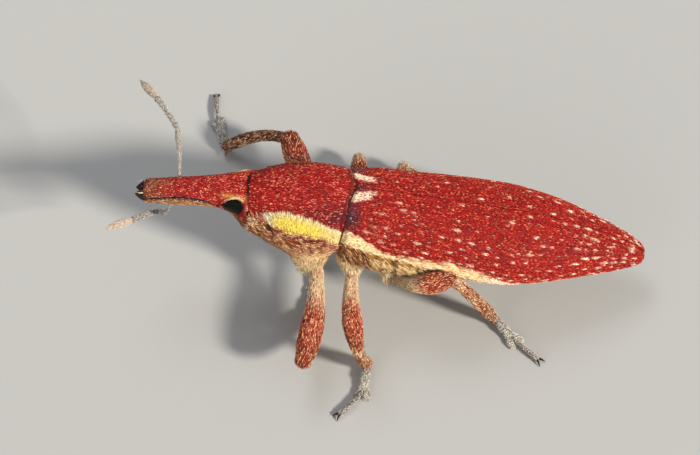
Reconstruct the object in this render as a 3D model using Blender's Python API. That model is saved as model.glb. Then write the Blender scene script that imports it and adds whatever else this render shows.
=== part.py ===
"""Lixus vilis, a red weevil with a yellow stripe on each side of its pronotum, standing still.

Life size, in metres, +Z up. The head points to -X and the weevil's left side to -Y. The feet
stand on the plane z = 0. The trunk is modelled on its own long axis, the trunk axis, whose
origin is the joint between pronotum and elytra. An empty then raises, pitches and rolls it into
the stance. The legs and feelers are laid out in the world, from named lengths and angles.
"""

import math

import bmesh
import bpy
from mathutils import Matrix, Vector

MM = 0.001

# Driving dimensions of the trunk
PRONOTUM_LENGTH = 2.95 * MM
ELYTRA_LENGTH = 8.42 * MM
ELYTRON_THICKNESS = 0.50 * MM
HEAD_LENGTH = 0.78 * MM
ROSTRUM_LENGTH = 2.19 * MM
SEAM = 0.06 * MM

# How the trunk stands
# The joint between pronotum and elytra, placed so that the model's bounds are centred on x = y = 0
TRUNK_PLACE = Vector((-0.6953 * MM, -0.4043 * MM, 3.2 * MM))
TRUNK_PITCH = math.radians(14.4)
TRUNK_ROLL = math.radians(-6.0)
PRONOTUM_DROOP = math.radians(6.4)
ROSTRUM_DROOP = math.radians(14.3)

# Lengths of the leg segments, by pair
FEMUR_LENGTH = {"front": 3.10 * MM, "mid": 2.62 * MM, "hind": 2.25 * MM}
TIBIA_LENGTH = {"front": 2.40 * MM, "mid": 1.58 * MM, "hind": 2.48 * MM}
TARSUS_LENGTH = {"front": 1.15 * MM, "mid": 1.00 * MM, "hind": 1.00 * MM}
CLAW_SEGMENT_LENGTH = 0.62 * MM
ANKLE_HEIGHT = 0.29 * MM

# Hip joints on the trunk: along the axis, out from the middle, and below the axis
HIP = {
    "front": (-0.80 * MM, 0.72 * MM, 1.76 * MM),
    "mid": (0.38 * MM, 0.93 * MM, 1.60 * MM),
    "hind": (1.47 * MM, 0.98 * MM, 1.56 * MM),
}

# Angles in degrees. Each yaw is measured from straight out to the side, and is positive
# towards the tail. Rise is above the horizontal.
POSTURE = {
    "front_left": {"femur": (1.8, -5.2), "tibia": -176, "tarsus": -175, "claw": -168},
    "front_right": {"femur": (-20.8, -5.3), "tibia": -77, "tarsus": -23, "claw": -8},
    "mid_left": {"femur": (9, 4), "tibia": 160, "tarsus": -5, "claw": -50},
    "mid_right": {"femur": (-7, -18), "tibia": 172, "tarsus": 160, "claw": 150},
    "hind_left": {"femur": (68, 29), "tibia": 96, "tarsus": 46, "claw": 52},
    "hind_right": {"femur": (-1, -16), "tibia": 138, "tarsus": 112, "claw": 100},
}

CRIMSON = (0.36, 0.022, 0.018)
BRICK = (0.33, 0.07, 0.045)
FLESH = (0.45, 0.16, 0.12)
CREAM_BROWN = (0.30, 0.17, 0.09)
ASH = (0.38, 0.38, 0.36)
BLACK = (0.006, 0.005, 0.005)


def profile(rows, place):
    """Values between the rows of a table, whose first column is the place, on smooth curves."""
    if place <= rows[0][0]:
        return list(rows[0][1:])
    if place >= rows[-1][0]:
        return list(rows[-1][1:])
    last = max(i for i in range(len(rows) - 1) if rows[i][0] <= place)
    before = rows[max(last - 1, 0)]
    start = rows[last]
    end = rows[last + 1]
    after = rows[min(last + 2, len(rows) - 1)]
    span = end[0] - start[0]
    t = (place - start[0]) / span
    values = []
    for column in range(1, len(start)):
        slope_in = (end[column] - before[column]) / (end[0] - before[0]) * span
        slope_out = (after[column] - start[column]) / (after[0] - start[0]) * span
        values.append(
            (2 * t**3 - 3 * t**2 + 1) * start[column]
            + (t**3 - 2 * t**2 + t) * slope_in
            + (3 * t**2 - 2 * t**3) * end[column]
            + (t**3 - t**2) * slope_out
        )
    return values


def steps(start, end, count):
    return [start + (end - start) * i / count for i in range(count + 1)]


def loft(rings):
    """A closed mesh through rings of points: one face is extruded from ring to ring."""
    shape = bmesh.new()
    first = [shape.verts.new(point) for point in rings[0]]
    cap = shape.faces.new(first)
    for ring in rings[1:]:
        cap = bmesh.ops.extrude_discrete_faces(shape, faces=[cap])["faces"][0]
        for vertex, point in zip(cap.verts, ring):
            vertex.co = point
    shape.faces.new(list(reversed(first)))
    bmesh.ops.triangulate(shape, faces=shape.faces)
    bmesh.ops.recalc_face_normals(shape, faces=shape.faces)
    mesh = bpy.data.meshes.new("loft")
    shape.to_mesh(mesh)
    shape.free()
    return mesh


def finish(name, mesh, colour, roughness, parent=None):
    """A named object with its own material, shaded smooth."""
    material = bpy.data.materials.new(name)
    material.use_nodes = True
    shader = material.node_tree.nodes["Principled BSDF"]
    shader.inputs["Base Color"].default_value = (*colour, 1.0)
    shader.inputs["Roughness"].default_value = roughness
    mesh.name = name
    mesh.materials.clear()
    mesh.materials.append(material)
    mesh.shade_smooth()
    mesh.set_sharp_from_angle(angle=math.radians(40))
    piece = bpy.data.objects.new(name, mesh)
    bpy.context.scene.collection.objects.link(piece)
    if parent:
        piece.parent = parent
    return piece


def combine(piece, others, operation):
    """Applies one Boolean of a collection of closed pieces, and keeps the largest surface."""
    group = bpy.data.collections.new("operands")
    bpy.context.scene.collection.children.link(group)
    for other in others:
        for home in list(other.users_collection):
            home.objects.unlink(other)
        group.objects.link(other)
    boolean = piece.modifiers.new("combine", "BOOLEAN")
    boolean.operation = operation
    boolean.operand_type = "COLLECTION"
    boolean.collection = group
    boolean.solver = "EXACT"
    bpy.context.view_layer.update()
    evaluated = piece.evaluated_get(bpy.context.evaluated_depsgraph_get())
    result = bpy.data.meshes.new_from_object(evaluated)
    piece.modifiers.clear()
    for other in others:
        bpy.data.objects.remove(other)
    bpy.data.collections.remove(group)
    shape = bmesh.new()
    shape.from_mesh(result)
    keep_largest(shape)
    shape.to_mesh(piece.data)
    shape.free()
    piece.data.shade_smooth()
    piece.data.set_sharp_from_angle(angle=math.radians(40))


def keep_largest(shape):
    """Deletes every closed surface of a mesh but the one with most faces."""
    left = set(shape.faces)
    surfaces = []
    while left:
        seed = left.pop()
        surface = {seed}
        front = [seed]
        while front:
            face = front.pop()
            for edge in face.edges:
                for neighbour in edge.link_faces:
                    if neighbour in left:
                        left.discard(neighbour)
                        surface.add(neighbour)
                        front.append(neighbour)
        surfaces.append(surface)
    surfaces.sort(key=len)
    loose = [face for surface in surfaces[:-1] for face in surface]
    bmesh.ops.delete(shape, geom=loose, context="FACES")


# The trunk's sections. Each is an ellipse of its own height above the axis and depth below it,
# and an angle on it is measured from the top, positive towards the right side.

# Place along the elytra, half width, height above the axis, depth below it
ELYTRA_SECTIONS = [
    (0.00 * MM, 1.16 * MM, 0.93 * MM, 1.40 * MM),
    (0.85 * MM, 1.34 * MM, 1.00 * MM, 1.42 * MM),
    (1.80 * MM, 1.44 * MM, 1.05 * MM, 1.42 * MM),
    (2.80 * MM, 1.52 * MM, 1.09 * MM, 1.42 * MM),
    (4.40 * MM, 1.57 * MM, 1.08 * MM, 1.38 * MM),
    (5.10 * MM, 1.47 * MM, 1.07 * MM, 1.25 * MM),
    (5.90 * MM, 1.30 * MM, 1.00 * MM, 0.98 * MM),
    (6.60 * MM, 1.08 * MM, 0.86 * MM, 0.74 * MM),
    (7.30 * MM, 0.83 * MM, 0.69 * MM, 0.56 * MM),
    (7.80 * MM, 0.61 * MM, 0.52 * MM, 0.45 * MM),
    (8.15 * MM, 0.45 * MM, 0.34 * MM, 0.31 * MM),
    (8.34 * MM, 0.31 * MM, 0.21 * MM, 0.20 * MM),
    (8.42 * MM, 0.19 * MM, 0.12 * MM, 0.12 * MM),
]

# Place along the elytra, and the angle in degrees at which the elytron's side edge lies
ELYTRON_EDGE = [(0.0, 99), (2.0 * MM, 104), (3.5 * MM, 112), (5.0 * MM, 124), (8.42 * MM, 128)]

# Distance forward of the elytra, half width, height above the pronotum's axis, depth below it
PRONOTUM_SECTIONS = [
    (0.00 * MM, 1.13 * MM, 1.00 * MM, 1.38 * MM),
    (0.30 * MM, 1.18 * MM, 1.05 * MM, 1.44 * MM),
    (0.80 * MM, 1.22 * MM, 1.07 * MM, 1.52 * MM),
    (1.30 * MM, 1.21 * MM, 1.05 * MM, 1.55 * MM),
    (1.90 * MM, 1.12 * MM, 0.98 * MM, 1.48 * MM),
    (2.40 * MM, 0.98 * MM, 0.88 * MM, 1.32 * MM),
    (2.80 * MM, 0.84 * MM, 0.77 * MM, 1.17 * MM),
    (2.95 * MM, 0.79 * MM, 0.72 * MM, 1.12 * MM),
]

# Distance forward of the pronotum, half width, height above the rostrum's axis, depth below it
HEAD_SECTIONS = [
    (0.05 * MM, 0.66 * MM, 0.46 * MM, 1.04 * MM),
    (0.25 * MM, 0.61 * MM, 0.475 * MM, 0.92 * MM),
    (0.50 * MM, 0.54 * MM, 0.48 * MM, 0.70 * MM),
    (0.78 * MM, 0.485 * MM, 0.475 * MM, 0.51 * MM),
]
ROSTRUM_SECTIONS = [
    (0.00 * MM, 0.48 * MM, 0.47 * MM, 0.50 * MM),
    (0.70 * MM, 0.43 * MM, 0.43 * MM, 0.44 * MM),
    (1.20 * MM, 0.415 * MM, 0.395 * MM, 0.40 * MM),
    (1.70 * MM, 0.39 * MM, 0.355 * MM, 0.365 * MM),
    (2.06 * MM, 0.365 * MM, 0.335 * MM, 0.345 * MM),
    (2.19 * MM, 0.31 * MM, 0.28 * MM, 0.29 * MM),
]
HEAD_BASE = Vector((-2.977 * MM, 0.0, -0.03 * MM))
NECK_FADE = 0.55 * MM

RIM_FADE = 1.0 * MM
BASAL_LOBE = 0.14 * MM
LOBE_HALF_ANGLE = 0.4
RIM_SLANT = 0.12 * MM
RIM_FORWARD = 0.13 * MM
RIM_HALF_ANGLE = 1.3
COLLAR_SLANT = 0.13 * MM
COLLAR_FADE = 1.0 * MM


def base_line(angle):
    """How far the line between pronotum and elytra runs back of the plane x = 0."""
    lobe = BASAL_LOBE * math.exp(-((angle / LOBE_HALF_ANGLE) ** 2))
    forward = RIM_FORWARD * math.exp(-((angle / RIM_HALF_ANGLE) ** 2))
    return lobe - forward - RIM_SLANT * (1 - math.cos(angle))


# The chest swells below the wing cases, where the mid and hind legs are hung
FLANK_SWELL = 0.20 * MM
FLANK_ANGLE = math.radians(130)
FLANK_SPREAD = math.radians(26)
# Place along the elytra, and the share of the swelling there
FLANK_ROWS = [(0.0, 0.25), (0.35 * MM, 1.0), (1.7 * MM, 1.0), (3.0 * MM, 0.0)]


def flank_swell(place, angle):
    """How far the chest stands out at an angle from the top, on either side."""
    turned = min(angle % (2 * math.pi), -angle % (2 * math.pi))
    share = max(0.0, profile(FLANK_ROWS, place)[0])
    return FLANK_SWELL * share * math.exp(-(((turned - FLANK_ANGLE) / FLANK_SPREAD) ** 2))


def section_point(half_width, height, depth, angle):
    rise = math.cos(angle) * (height if math.cos(angle) > 0 else depth)
    return half_width * math.sin(angle), rise


def trunk_point(place, angle, inset=0.0):
    """A point of the elytra's or abdomen's skin, or that far inside it."""
    half_width, height, depth = profile(ELYTRA_SECTIONS, place)
    side, rise = section_point(half_width - inset, height - inset, depth - inset, angle)
    return Vector((place, side, rise))


def elytron_thickness(place, angle, edge):
    """The wall of an elytron: full on the back, thinner to its side edge and to the apex."""
    half_width, height, depth = profile(ELYTRA_SECTIONS, place)
    wall = min(ELYTRON_THICKNESS, 0.55 * min(half_width, height, depth))
    return wall * (1 - 0.5 * (angle / edge) ** 2)


def elytron_mesh(side):
    """One wing case: a shell from the suture on the back to its edge on the flank."""
    rings = []
    blunt_end = [7.85 * MM, 8.10 * MM, 8.27 * MM, 8.37 * MM, ELYTRA_LENGTH]
    for place in steps(SEAM / 2, 7.6 * MM, 16) + blunt_end:
        edge = math.radians(profile(ELYTRON_EDGE, place)[0])
        fade = max(0.0, 1 - place / RIM_FADE)
        outer = []
        inner = []
        for angle in steps(0.0, edge, 14):
            point = trunk_point(place, angle)
            point.x += base_line(angle) * fade
            outer.append(point)
        for angle in steps(0.0, edge, 8):
            point = trunk_point(place, angle, elytron_thickness(place, angle, edge))
            point.x += base_line(angle) * fade
            inner.append(point)
        ring = outer + list(reversed(inner))
        for point in ring:
            point.y = side * (point.y + SEAM / 2)
        rings.append(ring)
    return loft(rings)


def core_ring(place, shrink=1.0):
    """A section of the body under the elytra, with a step where their side edges lie."""
    edge = math.radians(profile(ELYTRON_EDGE, place)[0])
    half_width = profile(ELYTRA_SECTIONS, place)[0]
    step = (SEAM + 0.03 * MM) / half_width
    ring = []
    for angle in steps(-edge, edge, 16):
        inset = elytron_thickness(place, abs(angle), edge) + SEAM
        ring.append(trunk_point(place, angle, inset))
    for angle in steps(edge + step, 2 * math.pi - edge - step, 14):
        ring.append(trunk_point(place, angle, -flank_swell(place, angle)))
    for point in ring:
        point.y *= shrink
        point.z *= shrink
    return ring


def core_mesh(start, end, count):
    """A length of the body under the elytra, its two ends a little smaller, as plates are."""
    bevel = 0.05 * MM
    end_scale = 0.965
    rings = [core_ring(start, end_scale)]
    rings += [core_ring(place) for place in steps(start + bevel, end - bevel, count)]
    rings.append(core_ring(end, end_scale))
    return loft(rings)


# Distances forward of the elytra, in millimetres
PRONOTUM_RINGS = (0.10, 0.30, 0.60, 0.95, 1.30, 1.65, 2.00, 2.30, 2.55, 2.75, 2.88)


def pronotum_frame(distance):
    """Where the pronotum's axis is that far forward of the elytra, and how its section tilts."""
    tilt = PRONOTUM_DROOP * distance / PRONOTUM_LENGTH
    forward = Vector((-math.cos(PRONOTUM_DROOP), 0.0, -math.sin(PRONOTUM_DROOP)))
    return forward * distance, Matrix.Rotation(-tilt, 3, "Y")


def collar_line(angle, distance):
    """How far the pronotum's front edge runs back on its sides, fading out behind it."""
    share = max(0.0, 1 - abs(PRONOTUM_LENGTH - distance) / COLLAR_FADE)
    return COLLAR_SLANT * share * math.sin(angle) ** 2


def prothorax_mesh():
    """The pronotum and prosternum in one: a barrel with a hollowed rear face and a flat front."""
    angles = steps(0.0, 2 * math.pi, 30)[:-1]
    rings = []

    def ring_at(distance, scale):
        centre, turn = pronotum_frame(distance)
        half_width, height, depth = profile(PRONOTUM_SECTIONS, distance)
        fade = max(0.0, 1 - distance / RIM_FADE)
        ring = []
        for angle in angles:
            side, rise = section_point(half_width, height, depth, angle)
            point = centre + turn @ Vector((0.0, side * scale, rise * scale))
            signed = angle if angle <= math.pi else angle - 2 * math.pi
            point.x += base_line(signed) * fade + collar_line(angle, distance)
            ring.append(point)
        return ring

    recess = 0.30 * MM
    hollow = ring_at(SEAM / 2, 0.50)
    for point in hollow:
        point.x = -recess
    rings.append(hollow)
    rings.append(ring_at(SEAM / 2, 0.52))
    rings.append(ring_at(SEAM / 2, 0.97))
    for distance in PRONOTUM_RINGS:
        rings.append(ring_at(distance * MM, 1.0))
    rings.append(ring_at(PRONOTUM_LENGTH, 0.97))
    return loft(rings)


def head_frame(distance):
    """A place on the head's or rostrum's axis, with the tilt of its section."""
    along = Vector((-math.cos(ROSTRUM_DROOP), 0.0, -math.sin(ROSTRUM_DROOP)))
    share = min(1.0, distance / (0.6 * MM))
    tilt = PRONOTUM_DROOP + (ROSTRUM_DROOP - PRONOTUM_DROOP) * share
    return HEAD_BASE + along * distance, Matrix.Rotation(-tilt, 3, "Y")


def head_ring(rows, distance, offset=0.0, scale=1.0, sides=24):
    centre, turn = head_frame(distance + offset)
    half_width, height, depth = profile(rows, distance)
    ring = []
    back = max(0.0, 1 - (distance + offset) / NECK_FADE)
    for angle in steps(0.0, 2 * math.pi, sides)[:-1]:
        side, rise = section_point(half_width, height, depth, angle)
        point = centre + turn @ Vector((0.0, side * scale, rise * scale))
        point.x += COLLAR_SLANT * back * math.sin(angle) ** 2
        ring.append(point)
    return ring


EYE_PLACE = 0.27 * MM
EYE_HALF_LENGTH = 0.355 * MM
EYE_HALF_HEIGHT = 0.31 * MM
EYE_DEPTH = 0.16 * MM
EYE_DROP = 0.12 * MM
EYE_INSET = 0.075 * MM
EYE_SPLAY = math.radians(20)


def eye_mesh(side, grow):
    """A flat oval lens, set in the side of the head."""
    shape = bmesh.new()
    bmesh.ops.create_uvsphere(shape, u_segments=16, v_segments=8, radius=1.0)
    sizes = Vector((EYE_HALF_LENGTH + grow, EYE_DEPTH + grow, EYE_HALF_HEIGHT + grow))
    bmesh.ops.scale(shape, vec=sizes, verts=shape.verts)
    half_width = profile(HEAD_SECTIONS, EYE_PLACE)[0]
    centre, turn = head_frame(EYE_PLACE)
    splay = Matrix.Rotation(-side * EYE_SPLAY, 3, "Z")
    place = centre + turn @ Vector((0.0, side * (half_width - EYE_INSET), -EYE_DROP))
    setting = Matrix.Translation(place) @ (turn @ splay).to_4x4()
    bmesh.ops.transform(shape, matrix=setting, verts=shape.verts)
    mesh = bpy.data.meshes.new("eye")
    shape.to_mesh(mesh)
    shape.free()
    return mesh


# Distance forward of the rostrum, half width and half height, in millimetres
MANDIBLE_ROWS = [(0.0, 0.24, 0.18), (0.10, 0.26, 0.19), (0.19, 0.20, 0.15), (0.24, 0.12, 0.09)]


def mandible_mesh():
    """The two short black jaws, closed on each other, with a notch between their tips."""
    rings = []
    for distance, half_width, half_height in MANDIBLE_ROWS:
        centre, turn = head_frame(HEAD_LENGTH + ROSTRUM_LENGTH + SEAM + distance * MM)
        ring = []
        for angle in steps(0.0, 2 * math.pi, 12)[:-1]:
            side = half_width * MM * math.sin(angle)
            notch = 0.5 * distance * MM * max(0.0, 1 - abs(side) / (0.12 * MM))
            ring.append(centre + turn @ Vector((notch, side, half_height * MM * math.cos(angle))))
        rings.append(ring)
    return loft(rings)


# Limbs

def heading(side, yaw, rise=0.0):
    """A direction in the world, from an angle off straight out to one side and a rise."""
    yaw = math.radians(yaw)
    rise = math.radians(rise)
    flat = math.cos(rise)
    return Vector((math.sin(yaw) * flat, side * math.cos(yaw) * flat, math.sin(rise)))


def bend(start, control, end, t):
    return start * (1 - t) ** 2 + control * (2 * t * (1 - t)) + end * t**2


def bend_tangent(start, control, end, t):
    return ((control - start) * (1 - t) + (end - control) * t).normalized()


def limb_ring(centre, along, half_width, half_height, sides, ground):
    across = along.cross(Vector((0.0, 0.0, 1.0)))
    if across.length < 0.05:
        across = Vector((0.0, 1.0, 0.0))
    across.normalize()
    above = across.cross(along).normalized()
    ring = []
    for angle in steps(0.0, 2 * math.pi, sides)[:-1]:
        point = centre + across * (half_width * math.cos(angle)) + above * (half_height * math.sin(angle))
        if ground and point.z < 0.0:
            point.z = 0.0
        ring.append(point)
    return ring


def limb_mesh(start, control, end, rows, count=7, sides=12, knob=True, ground=False):
    """A tube on a bend. rows give place along it, half width and half height, in millimetres."""
    rings = []
    places = sorted(set(steps(0.0, 1.0, count) + [rows[1][0]]))
    for t in places:
        half_width, half_height = profile(rows, t)
        along = bend_tangent(start, control, end, t)
        centre = bend(start, control, end, t)
        rings.append(limb_ring(centre, along, half_width * MM, half_height * MM, sides, ground))
    along = bend_tangent(start, control, end, 1.0)
    half_width, half_height = rows[-1][1:]
    reach = half_height if knob else 0.35 * half_height
    for turn in (35, 68):
        turn = math.radians(turn)
        centre = end + along * (reach * MM * math.sin(turn))
        scale = math.cos(turn) * MM
        rings.append(limb_ring(centre, along, half_width * scale, half_height * scale, sides, ground))
    return loft(rings)


COXA_KNOB = 0.26 * MM
COXA_GAP = 0.09 * MM
COXA_SPREAD = 0.66
COXA_BEND = {"front": 0.13 * MM, "mid": 0.06 * MM, "hind": 0.06 * MM}
COXA_LEAN = {"front": 0.34 * MM, "mid": 0.05 * MM, "hind": 0.0}
TROCHANTER_LEAN = {"front": 1.2, "mid": 0.0, "hind": 0.3}
COXA_ROWS = {
    "front": [(0, 0.56, 0.40), (0.35, 0.52, 0.43), (0.7, 0.38, 0.37), (1, 0.26, 0.26)],
    "mid": [(0, 0.42, 0.40), (0.35, 0.45, 0.43), (1, 0.27, 0.27)],
    "hind": [(0, 0.32, 0.32), (0.35, 0.41, 0.40), (1, 0.26, 0.26)],
}
KNEE_KNOB = {"front": 0.24 * MM, "mid": 0.22 * MM, "hind": 0.23 * MM}
ANKLE_KNOB = 0.22 * MM

# How far the middle of a tibia's curve is raised
TIBIA_ARCH = {"front_right": 0.24 * MM}

# How far the middle of a femur's curve is drawn to the tail and out to the side
FEMUR_BOW = {
    "front_left": (0.22 * MM, 0.0),
    "front_right": (0.0, 0.0),
    "mid_left": (-0.18 * MM, 0.0),
    "mid_right": (0.0, 0.0),
    "hind_left": (0.0, 0.34 * MM),
    "hind_right": (0.0, 0.0),
}

# Place along the segment, half width and half height in millimetres
FEMUR_ROWS = {
    "front": [(0, 0.15, 0.15), (0.06, 0.21, 0.21), (0.3, 0.25, 0.25), (0.5, 0.31, 0.31),
              (0.66, 0.34, 0.34), (0.85, 0.30, 0.30), (1, 0.24, 0.24)],
    "mid": [(0, 0.15, 0.15), (0.06, 0.21, 0.21), (0.3, 0.24, 0.24), (0.5, 0.27, 0.27), (0.68, 0.29, 0.29),
            (0.85, 0.27, 0.27), (1, 0.22, 0.22)],
    "hind": [(0, 0.15, 0.15), (0.06, 0.21, 0.21), (0.3, 0.25, 0.25), (0.5, 0.29, 0.29), (0.68, 0.31, 0.31),
             (0.85, 0.29, 0.29), (1, 0.23, 0.23)],
}
TIBIA_ROWS = [(0, 0.14, 0.14), (0.07, 0.22, 0.22), (0.25, 0.24, 0.24), (0.6, 0.24, 0.24),
              (0.85, 0.25, 0.25), (1, 0.22, 0.22)]
TARSUS_ROWS = [(0, 0.12, 0.12), (0.1, 0.21, 0.19), (0.35, 0.23, 0.21), (0.45, 0.21, 0.19),
               (0.8, 0.30, 0.19), (1, 0.24, 0.16)]
CLAW_ROWS = [(0, 0.09, 0.09), (0.2, 0.11, 0.10), (0.8, 0.13, 0.11), (1, 0.10, 0.08)]
HOOK_ROWS = [(0, 0.055, 0.055), (0.5, 0.045, 0.045), (1, 0.02, 0.02)]
HOOK_SPREAD = 24
HOOK_LENGTH = 0.20 * MM

# Heights above the floor
INSTEP_HEIGHT = 0.17 * MM
TOE_HEIGHT = 0.15 * MM
CLAW_ARCH_HEIGHT = 0.22 * MM
CLAW_TIP_HEIGHT = 0.11 * MM
HOOK_ARCH_HEIGHT = 0.13 * MM
HOOK_POINT_HEIGHT = 0.035 * MM


def leg(pair, side_name, side, to_world):
    """The coxa, femur, tibia, tarsus and claw segment of one leg."""
    posture = POSTURE[pair + "_" + side_name]
    along_axis, out, below = HIP[pair]
    hip = to_world @ Vector((along_axis, side * out, -below))
    down = to_world.to_3x3() @ Vector((0.0, 0.0, -1.0))
    tailward = to_world.to_3x3() @ Vector((1.0, 0.0, 0.0))
    label = pair + "_" + side_name

    place = along_axis - COXA_LEAN[pair]
    half_width, height, depth = profile(ELYTRA_SECTIONS, place)
    axis_drop = 0.0
    if place < 0.0:
        half_width, height, depth = profile(PRONOTUM_SECTIONS, -place)
        axis_drop = -place * math.tan(PRONOTUM_DROOP)
    inner = COXA_SPREAD * out
    if place >= 0.0:
        swell = flank_swell(place, math.pi - math.asin(inner / half_width))
        half_width += swell
        depth += swell
    underside = depth * math.sqrt(1 - (inner / half_width) ** 2)
    socket = to_world @ Vector((place, side * inner, -underside - axis_drop))
    slope = Vector((0.0, side * inner / half_width**2, -underside / depth**2)).normalized()
    outward = to_world.to_3x3() @ slope
    start = socket + outward * COXA_GAP
    control = (start + hip) / 2 + outward * COXA_BEND[pair]
    finish("coxa_" + label, limb_mesh(start, control, hip, COXA_ROWS[pair], count=4), CREAM_BROWN, 0.6)

    femur_way = heading(side, *posture["femur"])
    knee = hip + femur_way * FEMUR_LENGTH[pair]
    leave = (down * 0.6 + femur_way * 1.6 + tailward * TROCHANTER_LEAN[pair]).normalized()
    start = hip + leave * (COXA_KNOB + SEAM)
    bow_back, bow_out = FEMUR_BOW[label]
    middle = (start + knee) / 2 + tailward * bow_back + heading(side, 0.0) * bow_out
    femur = limb_mesh(start, middle, knee, FEMUR_ROWS[pair])
    finish("femur_" + label, femur, BRICK, 0.55)

    drop = knee.z - ANKLE_HEIGHT
    run = math.sqrt(max(TIBIA_LENGTH[pair] ** 2 - drop**2, 0.0))
    ankle = knee + heading(side, posture["tibia"]) * run
    ankle.z = ANKLE_HEIGHT
    shin_way = (ankle - knee).normalized()
    leave = (femur_way + shin_way).normalized()
    start = knee + leave * (KNEE_KNOB[pair] + SEAM)
    control = start + leave * (0.10 * MM) + (ankle - start) * 0.3
    control.z += 2 * TIBIA_ARCH.get(label, 0.0)
    tibia = limb_mesh(start, control, ankle, TIBIA_ROWS, count=5)
    finish("tibia_" + label, tibia, BRICK, 0.55)

    foot_way = heading(side, posture["tarsus"])
    leave = (shin_way + foot_way + Vector((0.0, 0.0, -0.1))).normalized()
    start = ankle + leave * (ANKLE_KNOB + SEAM)
    toe = ankle + foot_way * TARSUS_LENGTH[pair]
    toe.z = TOE_HEIGHT
    control = start + foot_way * (0.3 * MM)
    control.z = INSTEP_HEIGHT
    tarsus = limb_mesh(start, control, toe, TARSUS_ROWS, knob=False, ground=True)
    finish("tarsus_" + label, tarsus, ASH, 0.7)

    claw_way = heading(side, posture["claw"])
    leave = (foot_way + claw_way).normalized()
    start = toe + leave * (0.06 * MM + SEAM) + foot_way * (0.02 * MM)
    start.z = TOE_HEIGHT
    tip = start + claw_way * CLAW_SEGMENT_LENGTH
    tip.z = CLAW_TIP_HEIGHT
    middle = start + leave * (0.25 * MM)
    middle.z = CLAW_ARCH_HEIGHT
    segment = limb_mesh(start, middle, tip, CLAW_ROWS, count=4, sides=8, knob=False)
    base = finish("claw_" + label, segment, ASH, 0.7)
    hooks = []
    for spread in (-HOOK_SPREAD, HOOK_SPREAD):
        hook_way = heading(side, posture["claw"] + spread)
        root = tip - claw_way * (0.06 * MM)
        end = tip + hook_way * HOOK_LENGTH
        end.z = HOOK_POINT_HEIGHT
        middle = tip + hook_way * (0.7 * HOOK_LENGTH)
        middle.z = HOOK_ARCH_HEIGHT
        hook = limb_mesh(root, middle, end, HOOK_ROWS, count=3, sides=6, knob=False)
        hooks.append(finish("hook", hook, BLACK, 0.4))
    combine(base, hooks, "UNION")


SCAPE_PLACE = 1.16 * MM
FUNICLE_LENGTH = 1.18 * MM
CLUB_LENGTH = 0.65 * MM
FEELER_KNOB = 0.20 * MM
FUNICLE_ROWS = [(0, 0.13, 0.13), (0.08, 0.20, 0.20), (0.5, 0.22, 0.22), (0.9, 0.23, 0.23),
                (1, 0.20, 0.20)]
CLUB_ROWS = [(0, 0.12, 0.12), (0.15, 0.21, 0.21), (0.5, 0.24, 0.24), (0.8, 0.18, 0.18), (1, 0.07, 0.07)]
SCAPE_ROWS = [(0, 0.12, 0.12), (0.1, 0.17, 0.17), (0.5, 0.18, 0.18), (0.85, 0.22, 0.22), (1, 0.20, 0.20)]

# The right feeler is held out, and the left scape is folded down and under the rostrum. Reach is
# the elbow's distance from the rostrum's axis.
FEELER_POSTURE = {
    "right": {
        "reach": 1.73 * MM,
        "leave": (0, 8),
        "scape": (-3.8, 20.1),
        "funicle": (-36.7, 14.1),
        "club": (-43, -6),
    },
    "left": {
        "reach": 1.23 * MM,
        "leave": (-6, -20),
        "scape": (-92, -66.4),
        "funicle": (-50.5, 28.1),
        "club": (-56, 15),
    },
}


def antenna(side_name, side, to_world):
    """The scape, funicle and club of one feeler."""
    posture = FEELER_POSTURE[side_name]
    centre, turn = head_frame(HEAD_LENGTH + SCAPE_PLACE)
    half_width = profile(ROSTRUM_SECTIONS, SCAPE_PLACE)[0]
    out = heading(side, *posture["leave"])
    root = to_world @ centre + out * (half_width + SEAM)
    elbow = to_world @ centre + heading(side, *posture["scape"]) * posture["reach"]
    control = root + out * (0.35 * MM) + (elbow - root) * 0.15
    scape = limb_mesh(root, control, elbow, SCAPE_ROWS, count=6)
    finish("antenna_" + side_name + "_scape", scape, ASH, 0.7)

    arriving = bend_tangent(root, control, elbow, 1.0)
    whip = heading(side, *posture["funicle"])
    leave = (arriving + whip).normalized()
    start = elbow + leave * (FEELER_KNOB + SEAM)
    neck = elbow + whip * FUNICLE_LENGTH
    control = start + leave * (0.15 * MM) + whip * (0.2 * MM)
    funicle = limb_mesh(start, control, neck, FUNICLE_ROWS, count=5)
    finish("antenna_" + side_name + "_funicle", funicle, ASH, 0.7)

    end = heading(side, *posture["club"])
    leave = (whip + end).normalized()
    start = neck + leave * (FEELER_KNOB + SEAM)
    tip = start + end * (CLUB_LENGTH - 0.15 * MM)
    control = start + leave * (0.15 * MM)
    club = limb_mesh(start, control, tip, CLUB_ROWS, count=6)
    finish("antenna_" + side_name + "_club", club, FLESH, 0.7)


for thing in list(bpy.data.objects):
    bpy.data.objects.remove(thing)

trunk = bpy.data.objects.new("trunk_axis", None)
bpy.context.scene.collection.objects.link(trunk)
stand_up = Matrix.Rotation(TRUNK_PITCH, 4, "Y") @ Matrix.Rotation(TRUNK_ROLL, 4, "X")
trunk.matrix_world = Matrix.Translation(TRUNK_PLACE) @ stand_up
bpy.context.view_layer.update()

finish("elytron_left", elytron_mesh(-1), CRIMSON, 0.5, trunk)
finish("elytron_right", elytron_mesh(1), CRIMSON, 0.5, trunk)

# The plates of the underside, with how far each reaches along the trunk axis, in millimetres
PLATES = [
    ("mesothorax", 0.05, 0.86),
    ("metathorax", 0.86, 1.95),
    ("ventrite_1", 1.95, 3.45),
    ("ventrite_2", 3.45, 4.75),
    ("ventrite_3", 4.75, 5.45),
    ("ventrite_4", 5.45, 6.10),
    ("ventrite_5", 6.10, 7.45),
]
for plate, plate_start, plate_end in PLATES:
    half_seam = 0.5 * SEAM
    slab = core_mesh(plate_start * MM + half_seam, plate_end * MM - half_seam, 2)
    finish(plate, slab, CREAM_BROWN, 0.6, trunk)

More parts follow.
